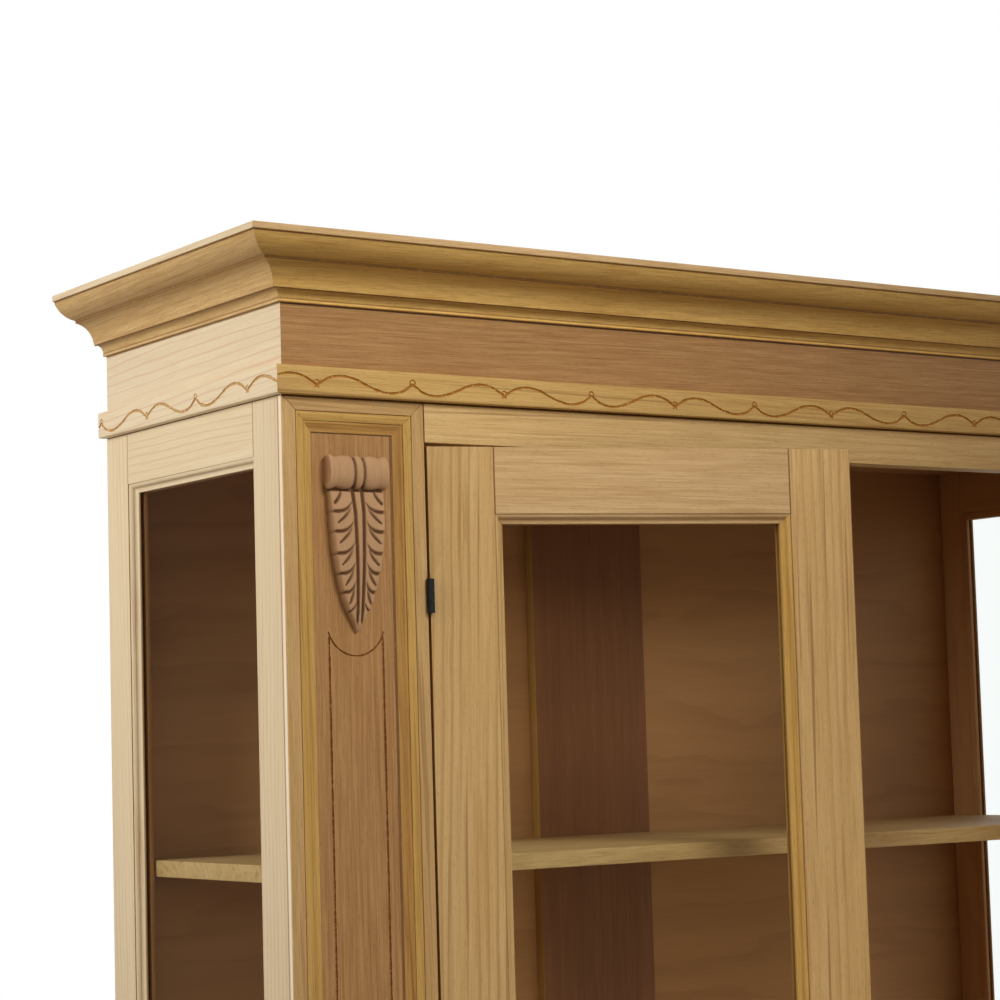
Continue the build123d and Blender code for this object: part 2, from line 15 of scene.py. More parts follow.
import bmesh
import bpy
import numpy as np
from bmesh.types import BMesh, BMVert
from bpy.types import Material, Mesh, MeshPolygon, Node, NodeSocket, NodeTree, Object, World
from mathutils import Matrix, Vector
from mathutils.bvhtree import BVHTree

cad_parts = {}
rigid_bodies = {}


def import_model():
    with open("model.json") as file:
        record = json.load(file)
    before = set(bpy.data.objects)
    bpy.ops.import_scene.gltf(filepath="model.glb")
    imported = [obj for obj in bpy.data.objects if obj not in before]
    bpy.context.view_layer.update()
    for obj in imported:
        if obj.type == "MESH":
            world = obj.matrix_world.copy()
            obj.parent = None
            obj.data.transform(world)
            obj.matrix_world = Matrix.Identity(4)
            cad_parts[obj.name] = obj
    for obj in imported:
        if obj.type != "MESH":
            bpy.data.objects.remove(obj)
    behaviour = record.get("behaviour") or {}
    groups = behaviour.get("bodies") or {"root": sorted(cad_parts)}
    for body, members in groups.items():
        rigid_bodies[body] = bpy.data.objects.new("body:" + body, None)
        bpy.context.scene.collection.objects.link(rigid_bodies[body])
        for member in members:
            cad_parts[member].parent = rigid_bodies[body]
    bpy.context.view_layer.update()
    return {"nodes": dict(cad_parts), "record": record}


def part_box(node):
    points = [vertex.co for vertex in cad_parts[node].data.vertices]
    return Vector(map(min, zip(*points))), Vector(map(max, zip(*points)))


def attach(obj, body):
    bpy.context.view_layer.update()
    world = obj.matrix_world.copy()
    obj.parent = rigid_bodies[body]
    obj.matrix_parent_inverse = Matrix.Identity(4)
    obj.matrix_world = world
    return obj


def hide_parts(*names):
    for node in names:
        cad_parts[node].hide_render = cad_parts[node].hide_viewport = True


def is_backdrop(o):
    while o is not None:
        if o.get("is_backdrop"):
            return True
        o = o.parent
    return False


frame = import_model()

LOG = logging.getLogger("display_cabinet")

Point = tuple[float, float]
Place = tuple[float, float, float]
Input = NodeSocket | float | tuple

MM = 0.001
HALF_WIDTH = 642.0
FRONT = -200.0
BACK = 200.0
CARCASS_TOP = 1960.0
FACE_RAIL_FOOT = 1900.0
SIDE_RAIL_TOP = 1885.5
SIDE_RAIL_FOOT = 190.0
# Where the upright joint lines of the sides start, behind the plinth.
LINE_FOOT = 100.0
LEFT_AJAR = 16.5
RIGHT_AJAR = 40.0
HINGE_X = 474.25
HINGE_Y = -204.3
PILASTER = 167.0
PILASTER_BAND = 35.5


@dataclass(frozen=True)
class DarkLine:
    """A thin brown line on the faces inside a box: at a joint the joint's own dark, in a corner painted
    shade.

    The box's corners are in millimetres, with the doors shut. A share below 0 marks
    faces that stay clean.
    """

    low: Place
    high: Place
    share: float = 0.85


def add_node(tree: NodeTree, kind: str, settings: dict | None = None, links: dict | None = None) -> Node:
    """Adds a node with its settings, and links or sets its inputs.

    Args:
        tree: The node tree that gets the node.
        kind: Blender's name of the node.
        settings: Properties of the node by name.
        links: Inputs by name or number, each a socket to link from or a value.

    Returns:
        The new node.
    """
    node = tree.nodes.new(kind)
    for name, value in (settings or {}).items():
        setattr(node, name, value)
    for key, value in (links or {}).items():
        socket = node.inputs[key]
        if isinstance(value, NodeSocket):
            tree.links.new(value, socket)
        else:
            socket.default_value = value
    return node


def result(
    tree: NodeTree, kind: str, links: dict | None = None, output: int | str = 0, **settings: str
) -> NodeSocket:
    """Adds a node and returns the socket that gives its result.

    Args:
        tree: The node tree that gets the node.
        kind: Blender's name of the node.
        links: Inputs by name or number, each a socket to link from or a value.
        output: The name or number of the socket.
        settings: Properties of the node.

    Returns:
        The socket.
    """
    return add_node(tree, kind, settings, links).outputs[output]


def maths(tree: NodeTree, kind: str, *values: Input) -> NodeSocket:
    """One step of arithmetic."""
    return result(tree, "ShaderNodeMath", dict(enumerate(values)), operation=kind)


def spread(
    tree: NodeTree,
    value: NodeSocket,
    start: Input,
    end: Input,
    low: Input = 0.0,
    high: Input = 1.0,
    smooth: bool = False,
) -> NodeSocket:
    """Spreads a value so that start becomes low and end becomes high, and holds it there.

    Args:
        tree: The node tree.
        value: The value.
        start: The value that becomes low.
        end: The value that becomes high.
        low: The first result.
        high: The last result.
        smooth: True for a soft start and end.

    Returns:
        The spread value.
    """
    links = {"Value": value, "From Min": start, "From Max": end, "To Min": low, "To Max": high}
    kind = "SMOOTHSTEP" if smooth else "LINEAR"
    return result(tree, "ShaderNodeMapRange", links, interpolation_type=kind)


def mixed(tree: NodeTree, share: NodeSocket, a: Input, b: Input) -> NodeSocket:
    """Two colours mixed by a share."""
    return result(tree, "ShaderNodeMix", {0: share, 6: a, 7: b}, 2, data_type="RGBA")


def noise(
    tree: NodeTree,
    place: NodeSocket,
    scale: float,
    detail: float,
    output: str = "Fac",
    roughness: float = 0.5,
) -> NodeSocket:
    """A noise on the given coordinates, as a share or as a colour."""
    links = {"Vector": place, "Scale": scale, "Detail": detail, "Roughness": roughness}
    return result(tree, "ShaderNodeTexNoise", links, output)


def object_place(tree: NodeTree) -> NodeSocket:
    """The coordinates of the object that carries the material."""
    return result(tree, "ShaderNodeTexCoord", output="Object")


def emptied(owner: Material | World) -> NodeTree:
    """Returns the owner's node tree with no node in it."""
    owner.use_nodes = True
    owner.node_tree.nodes.clear()
    return owner.node_tree


def linear(hex_colour: str) -> tuple[float, float, float, float]:
    """Turns an sRGB hex colour to linear red, green, blue and alpha.

    Args:
        hex_colour: The colour as #RRGGBB.

    Returns:
        The linear colour.
    """
    shares = [int(hex_colour[i : i + 2], 16) / 255 for i in (1, 3, 5)]
    red, green, blue = (s / 12.92 if s <= 0.04045 else ((s + 0.055) / 1.055) ** 2.4 for s in shares)
    return (red, green, blue, 1.0)


class Grain(Enum):
    """Which way the fibres of a board run."""

    LENGTHWISE = None
    ACROSS_FRONT = 0
    FRONT_TO_BACK = 1
    UPRIGHT = 2


class Body(Enum):
    """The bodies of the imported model, with the turn of what rides on them."""

    CABINET = "cabinet"
    LEFT_DOOR = "left_door"
    RIGHT_DOOR = "right_door"

    @property
    def turn(self) -> float:
        """The angle in radians about the upright axis that undoes the door's opening."""
        degrees = {"cabinet": 0.0, "left_door": LEFT_AJAR, "right_door": -RIGHT_AJAR}
        return math.radians(degrees[self.value])

    @property
    def closing(self) -> Matrix:
        """The matrix that shuts the door of what rides on the body."""
        side = -1 if self is Body.LEFT_DOOR else 1
        pivot = Matrix.Translation((side * HINGE_X * MM, HINGE_Y * MM, 0))
        return pivot @ Matrix.Rotation(self.turn, 4, "Z") @ pivot.inverted()


@dataclass(frozen=True)
class Finish:
    """A surface with a name, from which its material is built."""

    name: str

    def surface(self, tree: NodeTree) -> NodeSocket:
        """Adds the surface's nodes and returns its shader, which each kind does its own way."""
        raise NotImplementedError

    def material(self) -> Material:
        """Builds the material."""
        made = bpy.data.materials.new(self.name)
        tree = emptied(made)
        add_node(tree, "ShaderNodeOutputMaterial", {}, {"Surface": self.surface(tree)})
        return made


@dataclass(frozen=True)
class Wood(Finish):
    """A raw, planed wood: growth lines, fine fibres, streaks, stains and open pores, with painted shade in
    its crevices.

    Widths and lengths are in millimetres and shares are from 0 to 1.
    """

    pale: str
    body: str
    dark: str
    pore: str
    # The colour of the painted shade, with some dust, in joints, quirks and grooves.
    crevice: str
    ring_mm: float = 13.0
    ring_share: float = 0.3
    ring_start: float = 0.45
    wobble_mm: float = 5.0
    fibre_mm: float = 1.3
    fibre_share: float = 0.35
    streak_mm: float = 14.0
    streak_share: float = 0.5
    stain_share: float = 0.25
    vein_share: float = 0.0
    pore_share: float = 0.22
    speck_share: float = 0.7
    roughness: float = 0.55

    def surface(self, tree: NodeTree) -> NodeSocket:
        """Builds the wood on the coordinates that each board carries."""

        def carried(name: str, output: str) -> NodeSocket:
            """What the board's mesh says under a name."""
            return result(tree, "ShaderNodeAttribute", {}, output, attribute_name=name)

        def figure(along_mm: float, across_mm: float, detail: float, output: str = "Fac") -> NodeSocket:
            """A noise that changes over the given lengths along and across the fibres."""
            scale = (1000 / along_mm, 1000 / across_mm, 1000 / across_mm)
            place = result(tree, "ShaderNodeMapping", {"Vector": board, "Scale": scale})
            return noise(tree, place, 1.0, detail, output, roughness=0.55)

        def band(value: NodeSocket, low: float, high: float) -> NodeSocket:
            """A value spread softly so that low becomes 0 and high becomes 1."""
            return spread(tree, value, low, high, smooth=True)

        def times(a: NodeSocket, b: Input) -> NodeSocket:
            """The product of two values."""
            return maths(tree, "MULTIPLY", a, b)

        def vectors(kind: str, *values: Input, output: str = "Vector") -> NodeSocket:
            """One step of arithmetic with vectors."""
            return result(tree, "ShaderNodeVectorMath", dict(enumerate(values)), output, operation=kind)

        board = carried("board", "Vector")
        sway = self.wobble_mm * 2 * MM
        centred = vectors("SUBTRACT", figure(260, 70, 2.0, "Color"), (0.5, 0.5, 0.5))
        swayed = vectors("MULTIPLY_ADD", centred, (0.0, sway, sway), board)
        radius = vectors("LENGTH", vectors("MULTIPLY", swayed, (0.0, 1.0, 1.0)), output="Value")
        phase = maths(tree, "FRACT", times(radius, 1000 / self.ring_mm))
        growth = times(band(phase, self.ring_start, 0.93), band(phase, 1.0, 0.94))
        growth = times(growth, band(figure(500, 30, 1.0), 0.3, 0.6))
        fibres = figure(self.fibre_mm * 45, self.fibre_mm, 4.0)
        streaks = figure(self.streak_mm * 24, self.streak_mm, 2.0)
        stains = figure(self.streak_mm * 11, self.streak_mm * 0.6, 2.0)
        veins = figure(380, 5, 1.0)
        dashes = band(figure(9, 0.75, 1.0), 0.6, 0.72)
        links = {"Vector": board, "Scale": 11.0, "Randomness": 1.0}
        specks = result(tree, "ShaderNodeTexVoronoi", links, "Distance")

        share = times(band(streaks, 0.32, 0.7), self.streak_share)
        colour = mixed(tree, share, linear(self.pale), linear(self.body))
        for mark, share, shade in (
            (band(stains, 0.56, 0.76), self.stain_share, self.dark),
            (growth, self.ring_share, self.dark),
            (band(fibres, 0.36, 0.7), self.fibre_share, self.dark),
            (band(veins, 0.61, 0.74), self.vein_share, self.pore),
            (dashes, self.pore_share, self.pore),
            (band(specks, 0.013, 0.008), self.speck_share, self.pore),
        ):
            colour = mixed(tree, times(mark, share), colour, linear(shade))
        shift = spread(tree, carried("tone", "Fac"), 0.0, 1.0, 0.96, 1.04)
        colour = result(tree, "ShaderNodeVectorMath", {0: colour, "Scale": shift}, operation="SCALE")
        # Painted shade: faces in joints, quirks and grooves are mixed toward the crevice colour, broken up by
        # a noise.
        rough_edge = band(figure(7, 3, 2.0), -0.1, 0.5)
        dust_and_shade = times(carried("dust_and_shade", "Fac"), rough_edge)
        colour = mixed(tree, dust_and_shade, colour, linear(self.crevice))

        gloss = spread(tree, fibres, 0.0, 1.0, self.roughness - 0.08, self.roughness + 0.12)
        depth = maths(tree, "MULTIPLY_ADD", dashes, -0.6, fibres)
        bump = result(tree, "ShaderNodeBump", {"Strength": 0.35, "Distance": 0.15 * MM, "Height": depth})
        links = {"Base Color": colour, "Roughness": gloss, "Normal": bump, "Specular IOR Level": 0.35}
        return result(tree, "ShaderNodeBsdfPrincipled", links)


@dataclass(frozen=True)
class CutLine(Finish):
    """Wood burnt brown by the cutter that carved a line in it, and the same dark brown as painted shade deep
    in the gaps under the trim.
    """

    # The dark colour: the cutter's burn in carved lines, and painted shade in the gaps.
    burnt: str
    clean: str

    def surface(self, tree: NodeTree) -> NodeSocket:
        """Builds a broken brown line with light spots where the cut stayed clean."""
        share = spread(tree, noise(tree, object_place(tree), 420.0, 2.0), 0.52, 0.68)
        colour = mixed(tree, share, linear(self.burnt), linear(self.clean))
        links = {"Base Color": colour, "Roughness": 0.8, "Specular IOR Level": 0.2}
        return result(tree, "ShaderNodeBsdfPrincipled", links)


@dataclass(frozen=True)
class Glass(Finish):
    """Clear float glass: see-through, with a reflection that grows as it is seen aslant."""

    tint: str
    film: float = 0.001
    aslant: float = 0.15

    def surface(self, tree: NodeTree) -> NodeSocket:
        """Builds a pane that is clear for lamps and soft light, and glossy on its outside."""
        smears = noise(tree, object_place(tree), 9.0, 3.0)
        haze = spread(tree, smears, 0.0, 1.0, 0.01, 0.06)
        facing = result(tree, "ShaderNodeLayerWeight", {"Blend": 0.5}, "Facing")
        share = maths(tree, "MULTIPLY_ADD", maths(tree, "POWER", facing, 5.0), self.aslant, self.film)
        rays = add_node(tree, "ShaderNodeLightPath").outputs
        soft = maths(tree, "MAXIMUM", rays["Is Shadow Ray"], rays["Is Diffuse Ray"])
        behind = result(tree, "ShaderNodeNewGeometry", output="Backfacing")
        plain = maths(tree, "MAXIMUM", soft, behind)
        share = maths(tree, "MULTIPLY", share, maths(tree, "SUBTRACT", 1.0, plain))
        clear = result(tree, "ShaderNodeBsdfTransparent", {"Color": linear(self.tint)})
        gloss = result(tree, "ShaderNodeBsdfGlossy", {"Roughness": haze})
        return result(tree, "ShaderNodeMixShader", {0: share, 1: clear, 2: gloss})


@dataclass(frozen=True)
class Fitting(Finish):
    """A worked metal or a moulded plastic, with fine scratches or grain."""

    base: str
    worn: str
    metallic: float
    roughness: float
    grain_mm: float

    def surface(self, tree: NodeTree) -> NodeSocket:
        """Builds the fitting's surface on object coordinates."""
        grit = noise(tree, object_place(tree), 1000 / self.grain_mm, 3.0)
        colour = mixed(tree, spread(tree, grit, 0.45, 0.75), linear(self.base), linear(self.worn))
        rough = spread(tree, grit, 0.0, 1.0, self.roughness - 0.07, self.roughness + 0.1)
        bump = result(tree, "ShaderNodeBump", {"Strength": 0.2, "Distance": 0.05 * MM, "Height": grit})
        links = {"Base Color": colour, "Metallic": self.metallic, "Roughness": rough, "Normal": bump}
        return result(tree, "ShaderNodeBsdfPrincipled", links)


@dataclass(frozen=True)
class Gap:
    """A gap cut between boards: two corners of a box in millimetres, and the finish of its faces, which
    paints the shade in it.
    """

    low: Place
    high: Place
    finish: CutLine


# Raw pale wood of the sides: cream, with thin pinkish growth lines, straight and even.
SIDE_WOOD = Wood(
    "raw_pale_wood_planed",
    pale="#E0D1B2",
    body="#D8C6A3",
    dark="#C09D77",
    pore="#A67F54",
    crevice="#8F5F28",
    ring_mm=7.0,
    ring_share=0.38,
    ring_start=0.6,
    fibre_share=0.2,
    stain_share=0.1,
    pore_share=0.12,
    roughness=0.6,
)
# Golden wood of the fronts: straight fibres, olive and brown streaks, short open pores.
GOLDEN_WOOD = Wood(
    "raw_golden_wood_planed",
    pale="#CBAB77",
    body="#BC9861",
    dark="#97713E",
    pore="#7A552C",
    crevice="#5E3A16",
    ring_mm=9.0,
    ring_share=0.22,
    fibre_share=0.42,
    stain_share=0.34,
    vein_share=0.45,
    pore_share=0.28,
)
# The pilasters' mouldings: the same wood, a little darker, with soft brown quirks.
FRAME_WOOD = replace(
    GOLDEN_WOOD, name="raw_golden_wood_framed", pale="#C4A472", body="#B3905B", crevice="#8A6232"
)
# The same mouldings near the panel: a yellower copy, and a darker brown copy that paints the shade on the
# coves at the top and on the door's side.
OCHRE_WOOD = replace(
    FRAME_WOOD, name="raw_golden_wood_yellowed", pale="#C6A25E", body="#B58E4B", dark="#986F33"
)
UMBER_WOOD = replace(
    FRAME_WOOD,
    name="raw_golden_wood_browned",
    pale="#B98F4E",
    body="#A07843",
    dark="#7F5628",
    stain_share=0.5,
    vein_share=0.8,
)
# The door stiles: a softer figure of broad bands, with a few brown veins.
STILE_WOOD = replace(
    GOLDEN_WOOD,
    name="raw_golden_wood_banded",
    crevice="#6B3F16",
    ring_share=0.45,
    fibre_share=0.26,
    stain_share=0.46,
    vein_share=0.6,
)
# The door rails and the crown's planed top: paler and greyer than the wood beside them.
DOOR_RAIL_WOOD = replace(
    GOLDEN_WOOD,
    name="raw_golden_wood_greyed",
    pale="#CDAF82",
    body="#BE9C6C",
    dark="#9B7647",
    vein_share=0.1,
)
# The palest golden wood: the face rail, and the bead under the crown's sides, where it is a painted
# highlight.
LIGHT_GOLDEN_WOOD = replace(
    GOLDEN_WOOD, name="raw_light_golden_wood_planed", pale="#DABC86", body="#CDAC74", dark="#A9834C"
)
# The carved trim on the front: a yellower board than the rail below it.
TRIM_WOOD = replace(
    GOLDEN_WOOD, name="raw_golden_wood_carved", pale="#CBAA6B", body="#BC9757", dark="#966E37"
)
# The crown's wood: the same golden wood, run through a moulding machine and fuzzier.
CROWN_WOOD = Wood(
    "raw_golden_wood_moulded",
    pale="#CBA864",
    body="#BA924D",
    dark="#8F652A",
    pore="#734C24",
    crevice="#5E3A14",
    ring_mm=8.0,
    ring_share=0.2,
    fibre_share=0.42,
    stain_share=0.4,
    pore_share=0.36,
    roughness=0.64,
)
# The bead at the crown's foot: paler wood, a painted highlight where it catches the light.
BEAD_HIGHLIGHT_WOOD = replace(
    CROWN_WOOD, name="raw_golden_wood_bead", pale="#E6BE72", body="#DBAF5E", dark="#B78A40"
)
# The crown's side runs: a paler copy of the crown's wood, like the boards under them, painted lighter for the
# side light.
CROWN_SIDE_LIT_WOOD = replace(
    CROWN_WOOD,
    name="raw_pale_wood_moulded",
    pale="#CEAE79",
    body="#BE9A62",
    dark="#987040",
    crevice="#70481C",
)
# The palest boards of the side: its frieze and its carved trim, with wide pinkish lines.
SIDE_FRIEZE_WOOD = replace(
    SIDE_WOOD,
    name="raw_white_wood_planed",
    pale="#DFD2B5",
    body="#D7C7A8",
    dark="#C8987A",
    ring_mm=9.0,
    ring_start=0.7,
    ring_share=0.45,
    wobble_mm=8.0,
)
# The near white band where the pilaster's frame meets the side: a painted highlight on its rounded edge.
EDGE_HIGHLIGHT_WOOD = Wood(
    "bare_white_wood_edge",
    pale="#F0E8D8",
    body="#E9DDC6",
    dark="#CDB48C",
    pore="#B08C5C",
    crevice="#8A5F32",
    ring_share=0.1,
    fibre_share=0.15,
    stain_share=0.05,
    pore_share=0.05,
)
# Brown wood of the frieze and the panels: fine straight grain with light streaks.
RED_WOOD = Wood(
    "raw_reddish_wood_planed",
    pale="#AF895A",
    body="#9E7447",
    dark="#7B522D",
    pore="#5F3B1F",
    crevice="#4A2A12",
    ring_mm=7.0,
    ring_share=0.25,
    fibre_mm=1.2,
    fibre_share=0.5,
    streak_mm=5.0,
    streak_share=0.65,
    stain_share=0.2,
    pore_share=0.3,
)
# Carved wood of the corbels: close pinkish grain, matt where the gouge went.
CARVED_WOOD = Wood(
    "raw_pinkish_wood_carved",
    pale="#BB9773",
    body="#AF8862",
    dark="#956E4C",
    pore="#7E5535",
    crevice="#4A2810",
    ring_mm=11.0,
    ring_share=0.12,
    fibre_mm=1.0,
    fibre_share=0.2,
    streak_share=0.4,
    stain_share=0.12,
    pore_share=0.1,
    roughness=0.68,
)
# Rotary cut veneer: flowing curved figure lines, wide apart, on warm brown.
BACK_PLY = Wood(
    "rotary_cut_veneer",
    pale="#BC8D5D",
    body="#AA7B4E",
    dark="#8C5F39",
    pore="#7A5130",
    crevice="#3E2412",
    ring_mm=64.0,
    ring_share=0.24,
    wobble_mm=75.0,
    fibre_mm=1.4,
    fibre_share=0.14,
    streak_mm=60.0,
    stain_share=0.12,
    pore_share=0.06,
)
# Dark reddish wood of the post that covers the joint of the back panels.
POST_WOOD = Wood(
    "raw_dark_reddish_wood",
    pale="#8C5D3A",
    body="#7C4F2F",
    dark="#653D22",
    pore="#502C17",
    crevice="#2E180A",
    ring_mm=9.0,
    ring_share=0.1,
    wobble_mm=2.0,
    fibre_share=0.35,
)
# The carved and engraved lines, and the painted shade in the deep gaps under the trim.
FRONT_WAVE_CUT = CutLine("front_wave_burnt_by_cutter", burnt="#A06C2E", clean="#C99C52")
SIDE_WAVE_CUT = CutLine("side_wave_burnt_by_cutter", burnt="#BE9863", clean="#DAC398")
PANEL_CUT = CutLine("panel_line_burnt_by_cutter", burnt="#7A4A26", clean="#9C6E45")
FRONT_GAP_SHADE = CutLine("golden_wood_deep_in_a_gap", burnt="#5A3A1C", clean="#7A5228")
SIDE_GAP_SHADE = CutLine("pale_wood_deep_in_a_gap", burnt="#7A5630", clean="#98713F")
# Panes, hinges, pins, strike plates and catches.
CLEAR_GLASS = Glass("clear_float_glass", tint="#FBFDFC")
BLACK_STEEL = Fitting("blackened_steel", "#0E1011", "#1C1F21", metallic=0.5, roughness=0.5, grain_mm=1.2)
BRIGHT_STEEL = Fitting("satin_steel", "#B8B8B6", "#D2D2D0", metallic=1.0, roughness=0.34, grain_mm=0.8)
BROWN_PLASTIC = Fitting("moulded_brown_abs", "#40281A", "#4B3122", metallic=0.0, roughness=0.5, grain_mm=0.6)
# The gap that runs under the carved trim, on the front and on both sides, dark brown inside as painted shade.
GAP_TOP = 1942.4
GAPS = (
    Gap((-650.0, -204.0, 1940.0), (650.0, -199.2, GAP_TOP), FRONT_GAP_SHADE),
    Gap((-650.0, -197.0, 1941.1), (-641.0, 210.0, GAP_TOP), SIDE_GAP_SHADE),
    Gap((641.0, -197.0, 1941.1), (650.0, 210.0, GAP_TOP), SIDE_GAP_SHADE),
)


@contextmanager
def editing(mesh: Mesh) -> Iterator[BMesh]:
    """Opens a mesh for changes and writes them back to it."""
    work = bmesh.new()
    work.from_mesh(mesh)
    yield work
    work.to_mesh(mesh)
    work.free()


def stand(name: str, data: bpy.types.ID) -> Object:
    """Puts an object with the given mesh, lamp or camera in the scene."""
    made = bpy.data.objects.new(name, data)
    bpy.context.scene.collection.objects.link(made)
    return made


def corners_of(mesh: Mesh) -> np.ndarray:
    """The places of a mesh's corners, one row each."""
    points = np.zeros(len(mesh.vertices) * 3)
    mesh.vertices.foreach_get("co", points)
    return points.reshape(-1, 3)


def note(mesh: Mesh, name: str, domain: str, values: np.ndarray | list) -> None:
    """Writes one number or one vector for each point or face under a name.

    Args:
        mesh: The mesh.
        name: The name under which the finishes read them.
        domain: POINT or FACE.
        values: The numbers, or rows of three.
    """
    numbers = np.asarray(values, np.float32)
    kind, key = ("FLOAT", "value") if numbers.ndim == 1 else ("FLOAT_VECTOR", "vector")
    mesh.attributes.new(name, kind, domain).data.foreach_set(key, numbers.ravel())


def refinish(
    mesh: Mesh, finishes: tuple[Material, ...], chosen: Callable[[MeshPolygon], int | None]
) -> None:
    """Adds finishes to a mesh and gives them to the faces that a rule chooses.

    Args:
        mesh: The mesh.
        finishes: The finishes.
        chosen: Gives the number of a face's new finish, or None for a face that stays.
    """
    first = len(mesh.materials)
    for finish in finishes:
        mesh.materials.append(finish)
    for polygon in mesh.polygons:
        number = chosen(polygon)
        if number is not None:
            polygon.material_index = first + number


class Workshop:
    """Turns CAD nodes and built meshes to finished pieces that ride on their bodies."""

    # Painted shade in crevices: each face looks out along a fan of short rays and is darkened as they meet
    # other faces.
    # The ways in which a face looks for others: degrees off its normal, and how many round it.
    FAN = ((0.0, 1), (35.0, 4), (62.0, 7))
    # How far it looks, and the share of ways that may meet a face before it counts as deep.
    SIGHT_MM = 4.0
    OPEN_SHARE = 0.14

    def __init__(self) -> None:
        """Starts with no finish made and no wooden piece to check for crevices."""
        self.materials: dict[str, Material] = {}
        self.wooden: list[Object] = []
        self.slots = {row["node"]: row["material_slot"] for row in frame["record"]["subparts"]}
        self.homes = {
            node: body for body, nodes in frame["record"]["behaviour"]["bodies"].items() for node in nodes
        }

    def finish(self, kind: Finish) -> Material:
        """Returns the finish's material, made once."""
        if kind.name not in self.materials:
            self.materials[kind.name] = kind.material()
        return self.materials[kind.name]

    def dress(self, kind: Glass | Fitting, *nodes: str) -> None:
        """Gives CAD nodes that keep their shape a finish.

        Args:
            kind: The finish.
            nodes: The nodes' names.
        """
        for name in nodes:
            node = frame["nodes"][name]
            node.data.materials.clear()
            node.data.materials.append(self.finish(kind))

    def solids(self, node: str) -> list[BMesh]:
        """Splits a CAD node to its solids, each welded, with flat faces made whole.

        Args:
            node: The node's name.

        Returns:
            One mesh for each solid.
        """
        mesh = frame["nodes"][node].data
        points = corners_of(mesh)
        keys = [tuple(row) for row in np.round(points / (2e-3 * MM)).astype(np.int64).tolist()]
        found: list[BMesh] = []
        open_edges: set[tuple] = set()
        triangles: list[list[int]] = []
        for polygon in mesh.polygons:
            corners = list(polygon.vertices)
            triangles.append(corners)
            for a, b in zip(corners, corners[1:] + corners[:1]):
                back = (keys[b], keys[a])
                if back in open_edges:
                    open_edges.discard(back)
                else:
                    open_edges.add((keys[a], keys[b]))
            if not open_edges:
                found.append(self.welded(points, keys, triangles))
                triangles = []
        if triangles:
            found.append(self.welded(points, keys, triangles))
        return found

    @staticmethod
    def welded(points: np.ndarray, keys: list[tuple], triangles: list[list[int]]) -> BMesh:
        """Makes one mesh of triangles that share their corners.

        Args:
            points: The corners' places.
            keys: The same places, rounded, by which corners are shared.
            triangles: Three corner numbers each.

        Returns:
            The mesh, with flat faces dissolved to one.
        """
        made = bmesh.new()
        shared: dict[tuple, BMVert] = {}
        for corners in triangles:
            for corner in corners:
                if keys[corner] not in shared:
                    shared[keys[corner]] = made.verts.new(points[corner])
            distinct = {keys[corner] for corner in corners}
            if len(distinct) == 3:
                try:
                    made.faces.new([shared[keys[corner]] for corner in corners])
                except ValueError:
                    pass
        bmesh.ops.dissolve_limit(
            made, angle_limit=math.radians(0.5), verts=made.verts, edges=made.edges, delimit={"NORMAL"}
        )
        return made

    @staticmethod
    def ease(solid: BMesh, arris_mm: float) -> None:
        """Rounds the outward edges between faces that have room for it.

        Args:
            solid: The mesh, which is changed.
            arris_mm: How far the edge is taken back, in millimetres.
        """
        room = arris_mm * MM * 2.2
        chosen = []
        for edge in solid.edges:
            if len(edge.link_faces) != 2 or not edge.is_convex:
                continue
            if edge.calc_length() < arris_mm * MM * 5 or edge.calc_face_angle(0.0) < math.radians(35):
                continue
            start = edge.verts[0].co
            along = (edge.verts[1].co - start).normalized()
            widths = []
            for face in edge.link_faces:
                offsets = [v.co - start for v in face.verts]
                widths.append(max((offset - along * offset.dot(along)).length for offset in offsets))
            if min(widths) > room:
                chosen.append(edge)
        if chosen:
            bmesh.ops.bevel(
                solid,
                geom=chosen,
                offset=arris_mm * MM,
                segments=2,
                profile=0.5,
                affect="EDGES",
                clamp_overlap=True,
            )

    def boards(
        self,
        name: str,
        kind: Wood,
        *nodes: str,
        arris_mm: float = 0.7,
        grain: Grain = Grain.LENGTHWISE,
        dark_lines: tuple[DarkLine, ...] = (),
        gaps: tuple[Gap, ...] = (),
        crevices: bool = True,
    ) -> Object:
        """Makes one wooden piece of CAD nodes, with eased edges and its own grain.

        Args:
            name: The piece's name.
            kind: The wood.
            nodes: The CAD nodes that it stands for, all on one body.
            arris_mm: How far the outward edges are rounded.
            grain: Which way the fibres run.
            dark_lines: The joint lines on it, and its lines of painted shade.
            gaps: The gaps that are cut in it.
            crevices: False for a piece with no joint or quirk.

        Returns:
            The finished piece.
        """
        cut: list[Mesh] = []
        for node in nodes:
            closing = Body(self.homes[node]).closing
            for solid in self.solids(node):
                self.ease(solid, arris_mm)
                solid.transform(closing)
                scribe(solid, dark_lines)
                solid.transform(closing.inverted())
                mesh = bpy.data.meshes.new(name)
                solid.to_mesh(mesh)
                solid.free()
                mesh.materials.append(self.finish(kind))
                low, high = corners_of(mesh).min(axis=0), corners_of(mesh).max(axis=0)
                for gap in gaps:
                    if all(np.array(gap.low) * MM < high) and all(np.array(gap.high) * MM > low):
                        mesh = carved(mesh, block(gap.low, gap.high, self.finish(gap.finish)))
                cut.append(mesh)
        joined, owners = join(cut)
        return self.wooden_piece(name, joined, nodes, owners, grain, crevices=crevices)

